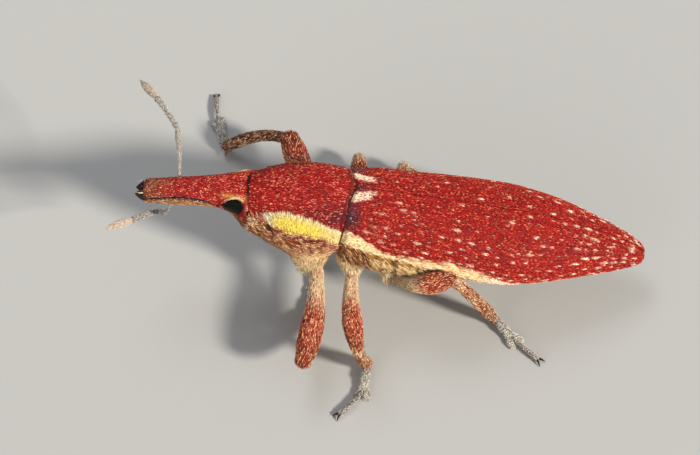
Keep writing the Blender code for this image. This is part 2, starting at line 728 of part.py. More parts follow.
finish("prothorax", prothorax_mesh(), CRIMSON, 0.5, trunk)
head_rings = [head_ring(HEAD_SECTIONS, distance * MM) for distance in (0.05, 0.15, 0.3, 0.45, 0.6)]
head_rings.append(head_ring(HEAD_SECTIONS, HEAD_LENGTH - SEAM))
head = finish("head", loft(head_rings), CRIMSON, 0.5, trunk)
sockets = [finish("socket", eye_mesh(side, 0.7 * SEAM), BLACK, 0.2, trunk) for side in (-1, 1)]
combine(head, sockets, "DIFFERENCE")
finish("eye_left", eye_mesh(-1, 0.0), BLACK, 0.2, trunk)
finish("eye_right", eye_mesh(1, 0.0), BLACK, 0.2, trunk)
rostrum_rings = [
    head_ring(ROSTRUM_SECTIONS, distance * MM, HEAD_LENGTH)
    for distance in (0.0, 0.35, 0.7, 1.0, 1.3, 1.6, 1.9, 2.06, 2.19)
]
finish("rostrum", loft(rostrum_rings), CRIMSON, 0.5, trunk)
finish("mandibles", mandible_mesh(), BLACK, 0.3, trunk)

for flank_name, flank in (("left", -1), ("right", 1)):
    for leg_pair in ("front", "mid", "hind"):
        leg(leg_pair, flank_name, flank, trunk.matrix_world)
    antenna(flank_name, flank, trunk.matrix_world)
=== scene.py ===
"""Lixus vilis, a red weevil with a yellow stripe along each side of its pronotum, at life size.

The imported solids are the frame. Every skin here is a sheet laid on the same sections and paths as
its solid, a little inside it, and the coat of short hairs lies over the skin. Skin and hairs take
their colours from the same marks. Lengths are in millimetres until a mesh is made.
"""

import math

import bmesh
import bpy
import numpy as np
from mathutils import Matrix, Vector


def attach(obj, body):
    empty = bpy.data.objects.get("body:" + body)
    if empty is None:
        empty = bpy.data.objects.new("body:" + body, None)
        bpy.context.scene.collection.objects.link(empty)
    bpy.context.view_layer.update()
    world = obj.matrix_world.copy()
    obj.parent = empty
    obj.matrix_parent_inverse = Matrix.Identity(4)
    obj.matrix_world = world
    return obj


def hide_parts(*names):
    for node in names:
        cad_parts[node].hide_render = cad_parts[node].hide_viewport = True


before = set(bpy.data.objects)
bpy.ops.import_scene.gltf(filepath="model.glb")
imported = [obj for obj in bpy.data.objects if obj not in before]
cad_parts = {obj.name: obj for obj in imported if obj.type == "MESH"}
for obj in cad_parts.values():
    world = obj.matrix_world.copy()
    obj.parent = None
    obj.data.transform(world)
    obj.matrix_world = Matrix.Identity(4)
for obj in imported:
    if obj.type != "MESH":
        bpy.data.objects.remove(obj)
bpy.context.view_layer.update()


# The stand and the light. A plain pale floor under the feet, a broad sun from the camera's right
# with weaker ones behind the weevil and low on the left, and a pale sky. The camera looks down on
# the left flank, turned with the insect as it stood on its leaf.
MM = 0.001
FLOOR_HALF = 400 * MM
TRUNK_PLACE = np.array([-0.6953, -0.4043, 3.2])
CAMERA_AZIMUTH = math.radians(15.93)
CAMERA_ELEVATION = math.radians(56.72)
CAMERA_ROLL = math.radians(-11.96)
CAMERA_DISTANCE = 95.0
CAMERA_DROP = 0.5775
CAMERA_LENS = 173.4


def add_object(name, data):
    """An object in the scene for a mesh, a light or the camera."""
    holder = bpy.data.objects.new(name, data)
    bpy.context.scene.collection.objects.link(holder)
    return holder


def finish_mesh(name, shape):
    """The mesh of a worked shape."""
    mesh = bpy.data.meshes.new(name)
    shape.to_mesh(mesh)
    shape.free()
    mesh.shade_smooth()
    return mesh


def new_material(name, roughness=0.5, specular=0.5, colour=(0.8, 0.8, 0.8)):
    """A material with its constants, its node tree and its shader."""
    material = bpy.data.materials.new(name)
    material.use_nodes = True
    shader = material.node_tree.nodes["Principled BSDF"]
    shader.inputs["Base Color"].default_value = (*colour, 1.0)
    shader.inputs["Roughness"].default_value = roughness
    shader.inputs["Specular IOR Level"].default_value = specular
    return material, material.node_tree, shader


shape = bmesh.new()
bmesh.ops.create_grid(shape, x_segments=1, y_segments=1, size=FLOOR_HALF)
floor = add_object("floor", finish_mesh("floor", shape))
floor.data.materials.append(new_material("floor_paint", roughness=0.75, colour=(0.41, 0.41, 0.405))[0])

level = Vector((math.cos(CAMERA_AZIMUTH), math.sin(CAMERA_AZIMUTH), 0.0))
to_camera = Vector((
    math.sin(CAMERA_AZIMUTH) * math.cos(CAMERA_ELEVATION),
    -math.cos(CAMERA_AZIMUTH) * math.cos(CAMERA_ELEVATION),
    math.sin(CAMERA_ELEVATION),
))
camera_right = level * math.cos(CAMERA_ROLL) + to_camera.cross(level) * math.sin(CAMERA_ROLL)
camera_up = to_camera.cross(camera_right)
lens = bpy.data.cameras.new("camera")
lens.lens = CAMERA_LENS
lens.sensor_width = 36.0
lens.clip_start = 2 * MM
lens.clip_end = 5.0
camera = add_object("camera", lens)
eye_point = Vector(TRUNK_PLACE) + to_camera * CAMERA_DISTANCE - camera_up * CAMERA_DROP
facing = Matrix((camera_right, camera_up, to_camera)).transposed()
camera.matrix_world = Matrix.Translation(eye_point * MM) @ facing.to_4x4()
bpy.context.scene.camera = camera

# Each sun's direction, strength, softness in degrees and colour
for name, toward, strength, softness, colour in (
    ("key_sun", to_camera * 0.75 + camera_right * 0.65 - camera_up * 0.10, 5.3, 8, (1.0, 0.94, 0.83)),
    ("fill_sun", to_camera * 0.6 - camera_right * 0.55 - camera_up * 0.45, 0.75, 40, (1.0, 0.95, 0.85)),
    ("rim_sun", to_camera * 0.45 - camera_right * 0.25 + camera_up * 0.9, 0.8, 30, (0.93, 0.96, 1.0)),
):
    light = bpy.data.lights.new(name, "SUN")
    light.energy, light.angle, light.color = strength, math.radians(softness), colour
    add_object(name, light).rotation_euler = toward.to_track_quat("Z", "Y").to_euler()
sky = bpy.data.worlds.new("sky")
sky.use_nodes = True
sky.node_tree.nodes["Background"].inputs["Color"].default_value = (0.93, 0.95, 1.0, 1.0)
sky.node_tree.nodes["Background"].inputs["Strength"].default_value = 0.33
bpy.context.scene.world = sky
bpy.context.scene.view_settings.view_transform = "Standard"


# The two wing cases. Hard crimson shells that meet along the back in a fine seam, with ten rows of
# small pits each, and each ends in its own blunt point. A sheet is laid on the sections of the
# trunk, out from the seam to the edge on the flank and back along the inner wall.
SIDES = ((-1, "left"), (1, "right"))
TRUNK_TURN = np.array(
    Matrix.Rotation(math.radians(14.4), 3, "Y") @ Matrix.Rotation(math.radians(-6.0), 3, "X")
)
ELYTRA_LENGTH = 8.45
ELYTRON_THICKNESS = 0.42
COAT_DEPTH = 0.02
# Place along the elytra, half width, height above the axis, depth below it
ELYTRA_SECTIONS = [
    (0.00, 1.16, 0.93, 1.40), (0.85, 1.34, 1.00, 1.42), (1.80, 1.44, 1.05, 1.42), (2.80, 1.52, 1.09, 1.42),
    (4.40, 1.57, 1.08, 1.38), (5.10, 1.47, 1.07, 1.25), (5.90, 1.30, 1.00, 0.98), (6.60, 1.08, 0.86, 0.74),
    (7.30, 0.83, 0.69, 0.56), (7.80, 0.62, 0.52, 0.45), (8.15, 0.45, 0.34, 0.31), (8.34, 0.31, 0.21, 0.20),
    (8.45, 0.14, 0.09, 0.09),
]
# Place along the elytra, and the angle in degrees at which the elytron's side edge lies
ELYTRON_EDGE = [(0.0, 99), (2.0, 104), (3.5, 112), (5.0, 124), (8.45, 128)]
# Rows of pits from the seam to the edge, and the pits' distance in a row
STRIAE = 10.5
PIT_PITCH = 0.115
# Shares of the sheet's width: out along the outer face, round the edge, and back along the inner
WING_COLUMNS = (0.0, 0.86, 0.875, 0.89, 0.98, 1.0)
WING_ANGLES = (0.0, 1.0, 1.015, 1.0, 0.0, 0.0)
WING_DEPTHS = (0.0, 0.0, 0.35, 1.0, 1.0, 0.0)
OUTER_SHARE = 0.86
SUTURE_GAP = 0.001
WING_HAIRS = 32000
SPOTS = 118
FLECKS = 110
# How much of the stripe's yellow the flank's pale band has
GOLD_SHARE = 0.26
# Where the pale band along the flank starts, in degrees from the top
BAND_TOP = [(0.0, 72), (0.3, 77), (0.7, 87), (1.1, 95), (1.6, 96), (2.3, 91), (3.0, 89), (3.6, 93),
            (4.1, 99), (4.5, 105), (5.1, 122), (8.45, 140)]


def profile(rows, place):
    """Values between the rows of a table, whose first column is the place, on smooth curves."""
    rows = np.asarray(rows, float)
    place = np.clip(np.atleast_1d(np.asarray(place, float)), rows[0, 0], rows[-1, 0])
    last = np.clip(np.searchsorted(rows[:, 0], place, side="right") - 1, 0, len(rows) - 2)
    before, start, end, after = (rows[np.clip(last + k, 0, len(rows) - 1)] for k in (-1, 0, 1, 2))
    span = end[:, :1] - start[:, :1]
    t = (place[:, None] - start[:, :1]) / span
    slope_in = (end - before) / (end[:, :1] - before[:, :1]) * span
    slope_out = (after - start) / (after[:, :1] - start[:, :1]) * span
    values = (2 * t**3 - 3 * t**2 + 1) * start + (t**3 - 2 * t**2 + t) * slope_in
    values += (3 * t**2 - 2 * t**3) * end + (t**3 - t**2) * slope_out
    return values[:, 1:].T


def blend(low, high, value):
    """0 below low, 1 above high, and a smooth rise between them."""
    t = np.clip((value - low) / (high - low), 0.0, 1.0)
    return t * t * (3 - 2 * t)


def bell(value, width):
    """1 at the middle, falling off smoothly to both sides."""
    return np.exp(-((value / width) ** 2))


def base_line(angle):
    """How far the line between pronotum and elytra runs back of the plane x = 0."""
    return 0.14 * bell(angle, 0.4) - 0.13 * bell(angle, 1.3) - 0.12 * (1 - np.cos(angle))


def section_point(half_width, height, depth, angle):
    """A section's points aside and up, by the angle from its top."""
    rise = np.cos(angle)
    return half_width * np.sin(angle), rise * np.where(rise > 0, height, depth)


def stand(points):
    """Points on the trunk's own axis, put where the standing trunk has them."""
    return points @ TRUNK_TURN.T + TRUNK_PLACE


def mottle(across, along, pitch, seed):
    """Smooth random values from 0 to 1 with blotches about one pitch wide."""
    table = np.random.default_rng(seed).random((61, 61))
    x, y = across / pitch, along / pitch
    i, j = np.floor(x).astype(int), np.floor(y).astype(int)
    s, t = x - i, y - j
    s, t = s * s * (3 - 2 * s), t * t * (3 - 2 * t)
    corner = [table[(i + a) % 61, (j + b) % 61] for a, b in ((0, 0), (1, 0), (0, 1), (1, 1))]
    low = corner[0] * (1 - s) + corner[1] * s
    return low * (1 - t) + (corner[2] * (1 - s) + corner[3] * s) * t


def fray(across, along, pitch, fine_pitch, seed):
    """Blotches of two sizes together, which make the edges of marks ragged."""
    return 0.6 * mottle(across, along, pitch, seed) + 0.4 * mottle(across, along, fine_pitch, seed + 1)


def paint(mesh, name, kind, values):
    """A named value or colour for each point of a mesh."""
    layer = mesh.attributes.new(name, kind, "POINT")
    layer.data.foreach_set("value" if kind == "FLOAT" else "color", values.astype(np.float32).ravel())


def lay_skin(name, surface, marks, columns, rows):
    """A closed sheet of quads laid on a surface, whose two measures u and v run from 0 to 1.

    The surface gives points, and marks gives yellow, pale, brown and dusk, each from 0 to 1."""
    shape = bmesh.new()
    bmesh.ops.create_grid(shape, x_segments=columns, y_segments=rows, size=0.5)
    mesh = bpy.data.meshes.new(name)
    shape.to_mesh(mesh)
    flat = np.empty(len(mesh.vertices) * 3, np.float32)
    mesh.vertices.foreach_get("co", flat)
    u, v = np.clip(np.round(flat.reshape(-1, 3)[:, :2].T.astype(float) + 0.5, 6), 0, 1)
    mesh.vertices.foreach_set("co", (surface(u, v) * MM).astype(np.float32).ravel())
    paint(mesh, "marks", "FLOAT_COLOR", marks(u, v))
    shape.clear()
    shape.from_mesh(mesh)
    bmesh.ops.remove_doubles(shape, verts=shape.verts, dist=2e-7)
    rims = [edge for edge in shape.edges if edge.is_boundary]
    if rims:
        bmesh.ops.holes_fill(shape, edges=rims, sides=0)
    bmesh.ops.recalc_face_normals(shape, faces=shape.faces)
    shape.to_mesh(mesh)
    shape.free()
    mesh.shade_smooth()
    return mesh


def show(mesh, material, slot, *nodes):
    """A finished piece of the weevil: it rides on the body and stands for the named solids."""
    mesh.materials.clear()
    mesh.materials.append(material)
    piece = add_object(mesh.name, mesh)
    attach(piece, "root")
    if nodes:
        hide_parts(*nodes)


def unit(vectors):
    """Vectors of length 1 in the same directions."""
    return vectors / np.maximum(np.linalg.norm(vectors, axis=-1, keepdims=True), 1e-12)


def slopes(surface, u, v):
    """The steps across and along a surface for a whole turn of u and v."""
    step = 1e-4
    across = surface(u + step, v) - surface(u - step, v)
    along = surface(u, v + step) - surface(u, v - step)
    return across / (2 * step), along / (2 * step)


def scatter(surface, count, rng, density, u_range=(0.0, 1.0), v_range=(0.0, 1.0)):
    """Roots spread over a surface by its area and by a density from 0 to 1."""
    u = rng.uniform(*u_range, count * 6)
    v = rng.uniform(*v_range, count * 6)
    across, along = slopes(surface, u, v)
    wanted = np.linalg.norm(np.cross(across, along), axis=1) * density(u, v)
    chance = wanted / np.quantile(wanted, 0.97)
    kept = np.flatnonzero(rng.random(len(u)) < chance)[:count]
    return u[kept], v[kept]


def lay_hairs(surface, marks, roots, rng, length, width, lift=0.2, lie=0.0, stray=0.25, mixed=0.0):
    """Closed pointed hairs, one to a root, as arrays of points, marks, tones and root places.

    Each leans out from the skin by lift and lies lie away from the way v runs, in radians. Where
    the skin is pale, mixed is the share of hairs that are not."""
    u, v = roots
    count = len(u)
    across, along = slopes(surface, u, v)
    root = surface(u, v)
    outside = unit(surface(u, v, 0.05) - root)
    facing = unit(np.cross(across, along))
    facing *= np.sign(np.sum(facing * outside, axis=1, keepdims=True))
    out = np.where(np.sum(facing * outside, axis=1, keepdims=True) > 0.3, facing, outside)
    ahead = unit(along - out * np.sum(along * out, axis=1, keepdims=True))
    turn = lie + rng.normal(0.0, stray, count)
    way = ahead * np.cos(turn)[:, None] + np.cross(out, ahead) * np.sin(turn)[:, None]
    flat = np.cross(out, way)
    long = (length * rng.uniform(0.7, 1.25, count))[:, None]
    wide = (width * rng.uniform(0.75, 1.2, count))[:, None]
    rise = (lift * rng.uniform(0.4, 1.5, count))[:, None]

    def reach(t):
        """The hair's middle line, from its root to its point."""
        arch = long * np.sin(rise) * t * (1 - 0.5 * t) - 0.006
        return root + way * (long * t * np.cos(rise)) + out * arch

    middle = reach(0.42)
    points = np.stack([
        reach(0.0) - out * 0.008, middle - flat * wide * 0.5, middle + out * wide * 0.35,
        middle + flat * wide * 0.5, reach(1.0),
    ], axis=1)
    points[..., 2] = np.maximum(points[..., 2], 0.003)
    tone = rng.random(count)
    masks = marks(u, v)
    masks[:, 1] *= rng.random(count) > mixed
    return points, masks, tone, np.stack([u, v], axis=1)


def show_hairs(name, tufts, material, slot):
    """One piece from several sets of hairs, with a small patch of the map for each hair."""
    strip = np.repeat(np.arange(len(tufts)), [len(tuft[0]) for tuft in tufts])
    points, masks, tone, places = (np.concatenate(sort) for sort in zip(*tufts))
    places = (places * 0.94 + 0.03 + np.stack([strip, 0 * strip], axis=1)) * (1 / len(tufts), 1)
    count, size = points.shape[:2]
    fan = np.array([(0, 1, 2), (0, 2, 3), (0, 3, 1), (4, 2, 1), (4, 3, 2), (4, 1, 3)])
    corners = (np.arange(count)[:, None, None] * size + fan[None]).reshape(-1)
    mesh = bpy.data.meshes.new(name)
    mesh.vertices.add(count * size)
    mesh.vertices.foreach_set("co", (points * MM).astype(np.float32).ravel())
    mesh.loops.add(len(corners))
    mesh.loops.foreach_set("vertex_index", corners.astype(np.int32))
    mesh.polygons.add(len(corners) // 3)
    mesh.polygons.foreach_set("loop_start", np.arange(0, len(corners), 3, dtype=np.int32))
    mesh.update(calc_edges=True)
    paint(mesh, "marks", "FLOAT_COLOR", np.repeat(masks, size, axis=0))
    paint(mesh, "tone", "FLOAT", np.repeat(tone, size))
    patch = np.array([(0, -1), (-1, 0), (0, 0), (1, 0), (0, 1)]) * 0.0015
    spread = (places[:, None, :] + patch[None]).reshape(-1, 2)
    mesh.uv_layers.new(name="OFBake").data.foreach_set("uv", spread[corners].astype(np.float32).ravel())
    mesh.shade_smooth()
    show(mesh, material, slot)


def give(tree, socket, value):
    """Sets an input, or links it where the value is another node's output."""
    if isinstance(value, bpy.types.NodeSocket):
        tree.links.new(value, socket)
    else:
        socket.default_value = (*value, 1.0) if isinstance(value, tuple) else value


def add(tree, kind, output=0, **values):
    """One output of a new shader node, whose settings and inputs are given by name."""
    node = tree.nodes.new("ShaderNode" + kind)
    for key, value in values.items():
        if key in node.inputs:
            give(tree, node.inputs[key], value)
        else:
            setattr(node, key, value)
    return node.outputs[output]


def add_by_place(tree, kind, values, output=0, **settings):
    """The same, for a node whose inputs are told apart by their place, as a table of values."""
    node = add(tree, kind, **settings).node
    for place, value in values.items():
        give(tree, node.inputs[place], value)
    return node.outputs[output]


def mix(tree, factor, first, second):
    """The first colour, turned into the second by the factor."""
    return add_by_place(tree, "Mix", {0: factor, 6: first, 7: second}, output=2, data_type="RGBA")


def reckon(tree, operation, first, second):
    """Two values reckoned together."""
    return add_by_place(tree, "Math", {0: first, 1: second}, operation=operation)


def scale_colour(tree, colour, value):
    """A colour made darker or lighter by a value."""
    return add_by_place(tree, "VectorMath", {0: colour, 3: value}, operation="SCALE")


def stretch(tree, value, low, high, start=0.0, end=1.0):
    """A value from low to high, stretched to run from start to end."""
    return add_by_place(tree, "MapRange", {0: value, 1: low, 2: high, 3: start, 4: end})


def add_group(tree, group, values):
    """A shared group in a material, with its inputs set or linked by name."""
    node = tree.nodes.new("ShaderNodeGroup")
    node.node_tree = group
    for label, value in values.items():
        give(tree, node.inputs[label], value)
    return node.outputs


def new_group(name, colours, values, outputs):
    """An empty shader group with named sockets: its tree, what it is given and what it makes."""
    tree = bpy.data.node_groups.new(name, "ShaderNodeTree")
    for label in colours + values:
        kind = "NodeSocketColor" if label in colours else "NodeSocketFloat"
        tree.interface.new_socket(label, in_out="INPUT", socket_type=kind)
    for label, kind in outputs:
        tree.interface.new_socket(label, in_out="OUTPUT", socket_type="NodeSocket" + kind)
    return tree, tree.nodes.new("NodeGroupInput").outputs, tree.nodes.new("NodeGroupOutput").inputs


# Colours of the insect, shared by skin and coat through one group: the field of the piece,
# with blotches, then what the marks say of brown, dusk, pale scales and the yellow stripe. Where the
# marks put dusk in grooves, hems, under the stripe and on the shoulders, it is painted shade.
colour_tree, given, made = new_group(
    "weevil_colours", ["Field", "Blotch", "Brown", "Dusk", "Pale", "Yellow"], ["Blotch Scale", "Pale Cover"],
    [("Colour", "Color")],
)
place = add(colour_tree, "TexCoord", "Object")
blotches = add(colour_tree, "TexNoise", Vector=place, Scale=given["Blotch Scale"], Detail=5.0,
               Roughness=0.62)
marked = add(colour_tree, "Attribute", attribute_name="marks")
parts = add(colour_tree, "SeparateColor", Color=marked).node.outputs
covered = reckon(colour_tree, "MULTIPLY", parts["Green"], given["Pale Cover"])
colour = given["Field"]
for share, label in ((stretch(colour_tree, blotches, 0.42, 0.68), "Blotch"), (parts["Blue"], "Brown"),
                     (marked.node.outputs["Alpha"], "Dusk"), (covered, "Pale"), (parts["Red"], "Yellow")):
    colour = mix(colour_tree, share, colour, given[label])
colour_tree.links.new(colour, made["Colour"])

# Grain of the hard skin: small pits set close, over a finer grit
grain_tree, given, made = new_group(
    "cuticle_grain", [], ["Pit Scale"], [("Height", "Float"), ("Grit", "Float")]
)
place = add(grain_tree, "TexCoord", "Object")
pits = add(grain_tree, "TexVoronoi", Vector=place, Scale=given["Pit Scale"])
grit = add(grain_tree, "TexNoise", Vector=place, Scale=60000.0, Detail=4.0, Roughness=0.7)
pitted = reckon(grain_tree, "ADD", stretch(grain_tree, pits, 0.1, 0.55), grit)
grain_tree.links.new(pitted, made["Height"])
grain_tree.links.new(grit, made["Grit"])

CRIMSON = (0.24, 0.008, 0.009)
DEEP_RED = (0.12, 0.006, 0.008)
BROWN = (0.15, 0.042, 0.020)
DUSK = (0.040, 0.013, 0.018)
CREAM = (0.82, 0.62, 0.44)
LEMON = (0.86, 0.62, 0.13)
BLOTCH_SCALE = 2600.0


def skin_material(name, field=CRIMSON, blotch=DEEP_RED, brown=BROWN, dusk=DUSK, pale=CREAM, yellow=LEMON,
                  cover=0.8, blotch_scale=BLOTCH_SCALE, pit_scale=9000.0, bump=0.7):
    """Hard skin: the shared colours over the shared grain."""
    material, tree, shader = new_material(name, roughness=0.48, specular=0.10)
    colour = add_group(tree, colour_tree, {
        "Field": field, "Blotch": blotch, "Brown": brown, "Dusk": dusk, "Pale": pale, "Yellow": yellow,
        "Blotch Scale": blotch_scale, "Pale Cover": cover,
    })["Colour"]
    grain = add_group(tree, grain_tree, {"Pit Scale": pit_scale})
    raised = add(tree, "Bump", Height=grain["Height"], Strength=bump, Distance=2e-5)
    shaded = scale_colour(tree, colour, stretch(tree, grain["Grit"], 0.3, 0.6, start=0.55))
    tree.links.new(shaded, shader.inputs["Base Color"])
    tree.links.new(raised, shader.inputs["Normal"])
    return material


def coat_material(name, field, glint, brown=(0.50, 0.17, 0.07), brown_glint=(0.95, 0.62, 0.30),
                  dusk=(0.15, 0.035, 0.050), dusk_glint=(0.72, 0.42, 0.46), pale=(0.97, 0.81, 0.60),
                  yellow=(1.0, 0.80, 0.14), glint_from=0.80, darkest=0.35, dimmest=0.70):
    """Short hairs: the shared colours, lighter or darker from hair to hair, and a few in glint colours,
    which are partly paler hairs and partly painted highlights.
    """
    material, tree, shader = new_material(name, roughness=0.55, specular=0.22)
    tone = add(tree, "Attribute", "Fac", attribute_name="tone")
    # Painted highlights: the hairs of highest tone take each ground's glint colour; in the dusk these glints
    # are painted reflections.
    bright = stretch(tree, tone, glint_from, glint_from + 0.08)
    shade = stretch(tree, tone, 0.0, glint_from, darkest, 1.05)
    grounds = {"Field": (field, glint), "Brown": (brown, brown_glint), "Dusk": (dusk, dusk_glint)}
    values = {label: scale_colour(tree, mix(tree, bright, *pair), shade) for label, pair in grounds.items()}
    values.update({
        "Blotch": values["Field"], "Pale": pale, "Yellow": yellow, "Blotch Scale": BLOTCH_SCALE,
        "Pale Cover": 1.0,
    })
    colour = add_group(tree, colour_tree, values)["Colour"]
    toned = scale_colour(tree, colour, stretch(tree, tone, 0.0, 1.0, dimmest, 1.15))
    tree.links.new(toned, shader.inputs["Base Color"])
    return material


red_coat = coat_material("red_coat", (0.60, 0.024, 0.012), (0.94, 0.26, 0.12), pale=(0.97, 0.76, 0.60),
                         glint_from=0.89, darkest=0.40)
wing_skin = skin_material("wing_case_skin", cover=0.5)


def wing_places(u, v):
    """Place along the elytra, angle from the top and the angle of the edge."""
    along = v * ELYTRA_LENGTH
    edge = np.radians(profile(ELYTRON_EDGE, along)[0])
    return along, edge * np.interp(u, WING_COLUMNS, WING_ANGLES), edge


def wing_surface(side):
    """One wing case as a surface: rows of pits, a shoulder, and a bead along the seam."""

    def surface(u, v, height=0.0):
        along, angle, edge = wing_places(u, v)
        half_width, high, deep = profile(ELYTRA_SECTIONS, along)
        small = np.minimum(np.minimum(half_width, high), deep)
        wall = np.minimum(ELYTRON_THICKNESS, 0.5 * small) * (1 - 0.5 * (angle / edge) ** 2)
        inset = COAT_DEPTH * np.minimum(1, small / 0.5) + wall * np.interp(u, WING_COLUMNS, WING_DEPTHS)
        stria = STRIAE * angle / edge
        nearest = np.round(stria)
        off = np.abs(stria - nearest) * edge * 0.5 * (half_width + high) / STRIAE
        row = (nearest >= 1) & (nearest <= 10) & (u <= OUTER_SHARE)
        step = along / PIT_PITCH + 0.37 * nearest
        pit = bell((step - np.round(step)) * PIT_PITCH, 0.032)
        depth = 0.006 + 0.012 * blend(5.5, 8.0, along) + 0.012 * pit
        relief = -np.where(row, depth * bell(off, 0.030), 0.0)
        relief += 0.05 * bell(along - 0.65, 0.5) * bell(angle - 1.08, 0.3)
        relief -= 0.035 * bell(along - 0.30, 0.25) * bell(angle - 0.55, 0.35)
        relief -= 0.008 * bell(angle * half_width, 0.018) * (u <= OUTER_SHARE)
        rise = relief * np.minimum(1, small / 0.3) - inset + height
        aside, up = section_point(half_width + rise, high + rise, deep + rise, angle)
        aside = side * (aside + (SUTURE_GAP + 0.035 * blend(8.1, 8.45, along)))
        return stand(np.stack([along + base_line(angle) * np.maximum(0.0, 1 - along), aside, up], axis=1))

    return surface


def wing_spots(seed):
    """Small pale spots in the spaces between the rows: place, share of the width, half length,
    half width and strength. They lie closer towards the flank and the tip, and are faint in front."""
    rng = np.random.default_rng(seed)
    spots = []
    while len(spots) < SPOTS:
        along, share = rng.uniform(0.5, 8.25), (rng.integers(0, 10) + 0.5 + rng.normal(0, 0.12)) / STRIAE
        wanted = 0.10 + 0.65 * blend(0.32, 0.75, share) + 0.45 * blend(3.5, 7.5, along)
        near = any(abs(along - s[0]) < 0.24 and abs(share - s[1]) < 0.07 for s in spots)
        if rng.random() < wanted and not near:
            big = rng.random()
            strength = rng.uniform(0.6, 1.0) * (0.5 + 0.5 * blend(1.2, 2.8, along + 1.5 * (big - 0.5)))
            spots.append((along, share, 0.030 + 0.060 * big**1.5, 0.022 + 0.016 * big, strength))
    for _ in range(FLECKS):
        spots.append((rng.uniform(0.4, 8.2), rng.uniform(0.1, 0.95), 0.022, 0.018, rng.uniform(0.4, 0.9)))
    return spots


def wing_marks(side):
    """The marks of one wing case: two pale patches at its base, spots, and the band on the flank, with
    painted shade on the shoulder and on the front hem.
    """
    spots = wing_spots(40 + side)

    def marks(u, v):
        along, angle, edge = wing_places(u, v)
        half_width, high, _ = profile(ELYTRA_SECTIONS, along)
        arc = edge * 0.5 * (half_width + high)
        share = angle / edge
        ragged = 0.7 * mottle(share * arc, along, 0.11, 5 + side) + 0.3 * mottle(share * arc, along, 0.04, 9)
        streaks = mottle(share * arc, along * 0.3, 0.045, 7 + side)
        pale = np.zeros(len(along))
        for place, spot_share, long, wide, strength in spots:
            near = np.abs(along - place) < 3 * long
            off = ((along[near] - place) / long) ** 2 + ((share[near] - spot_share) * arc[near] / wide) ** 2
            pale[near] = np.maximum(pale[near], strength * blend(1.7, 0.5, off + 0.8 * (ragged[near] - 0.5)))
        degrees = np.degrees(angle)
        base_patch = bell(degrees - 22 - 5 * side + 18 * along, 9.0)
        base_patch *= blend(0.68, 0.32, along + 0.45 * (ragged - 0.5))
        base_patch = 0.97 * blend(0.28, 0.72, base_patch * (0.6 + 0.7 * ragged))
        top = profile(BAND_TOP, along)[0] + 16 * (ragged - 0.5)
        band = np.minimum(blend(-4, 5, degrees - top) * (0.74 + 0.4 * streaks + 0.25 * ragged), 1)
        rim = blend(5.0, 6.5, along) * blend(0.93, 0.98, share) * 0.5 * ragged
        pale = np.maximum.reduce([pale, base_patch, band, rim])
        # Painted shade: darker on the upper side of the shoulder, and on the front hem where the wing case
        # runs in under the pronotum. The seam is darker at the base too.
        dusk = blend(0.46, 0.12, along + 0.3 * (ragged - 0.5)) * bell(degrees - 46, 26)
        dusk *= blend(0.10, 0.40, ragged)
        dusk = np.maximum(dusk, 0.75 * blend(0.62, 0.2, along) * bell(degrees, 11) * blend(0.2, 0.5, ragged))
        dusk = np.maximum(dusk * (1 - pale), blend(0.03, 0.008, along))
        brown = 0.9 * blend(-6, 8, degrees - top) * blend(5.5, 4.5, along)
        brown = np.maximum(brown, 0.6 * blend(0.80, 0.90, mottle(share * arc, along, 0.07, 3 + side)))
        brown = np.maximum(brown, 0.9 * blend(0.862, 0.884, u))
        golden = GOLD_SHARE * band * blend(4.5, 3.5, along)
        # Pale and golden hairs end short of the edge and of the front hem
        edged = np.minimum(blend(0.884, 0.862, u), blend(0.008, 0.03, along))
        return np.stack([golden * edged, pale * edged, brown, np.minimum(dusk, 1)], axis=1)

    return marks


for side, side_name in SIDES:
    surface, marks = wing_surface(side), wing_marks(side)
    name = "wing_case_" + side_name
    show(lay_skin(name, surface, marks, 128, 300), wing_skin, "wing_case", "elytron_" + side_name)
    rng = np.random.default_rng(70 + side)
    roots = scatter(surface, WING_HAIRS, rng, lambda u, v: 0.6 + 0.4 * marks(u, v)[:, 1],
                    u_range=(0.0, 0.882), v_range=(0.004, 0.995))
    golden, pale = marks(*roots).T[:2]
    band = golden / GOLD_SHARE
    hairs = lay_hairs(surface, marks, roots, rng, length=0.10 + 0.12 * band, width=0.0145 + 0.006 * pale,
                      lift=0.15 + 0.10 * pale + 0.10 * band, lie=0.35 * band, stray=0.20,
                      mixed=np.maximum(0.24 * band, 0.1 * (pale > 0.5)))
    show_hairs(name + "_coat", [hairs], red_coat, "wing_case")


# The pronotum. One hard ring that carries the front legs, with the yellow stripe of dense scales
# along each side, a rim over the wing cases and a collar round the head. A sheet is laid right
# round the sections, with its joint under the body, and turns in at both ends.
PRONOTUM_LENGTH = 2.95
PRONOTUM_DROOP = math.radians(6.4)
# Distance forward of the elytra, half width, height above the pronotum's axis, depth below it
PRONOTUM_SECTIONS = [
    (0.00, 1.13, 1.00, 1.38), (0.30, 1.18, 1.05, 1.44), (0.80, 1.22, 1.07, 1.52), (1.30, 1.21, 1.05, 1.55),
    (1.90, 1.12, 0.98, 1.48), (2.40, 0.98, 0.88, 1.32), (2.80, 0.84, 0.77, 1.17), (2.95, 0.79, 0.72, 1.12),
]
# Shares of the sheet's length, the distance forward there, and the size of the section
PRONOTUM_ROWS = (0.0, 0.02, 0.04, 0.055, 0.945, 0.965, 0.98, 1.0)
PRONOTUM_REACH = (0.20, -0.02, -0.03, 0.02, 2.91, 2.94, 2.90, 2.70)
PRONOTUM_SIZE = (0.45, 0.60, 0.965, 1.0, 1.0, 0.965, 0.91, 0.86)
# Upper and lower edge of the yellow stripe, in degrees from the top, by distance forward
STRIPE_EDGES = [(0.0, 81, 106), (0.25, 78, 101), (0.53, 72, 93), (1.05, 62.5, 88), (1.55, 57, 87),
                (1.98, 58, 85), (2.33, 62, 80), (2.6, 66, 76)]
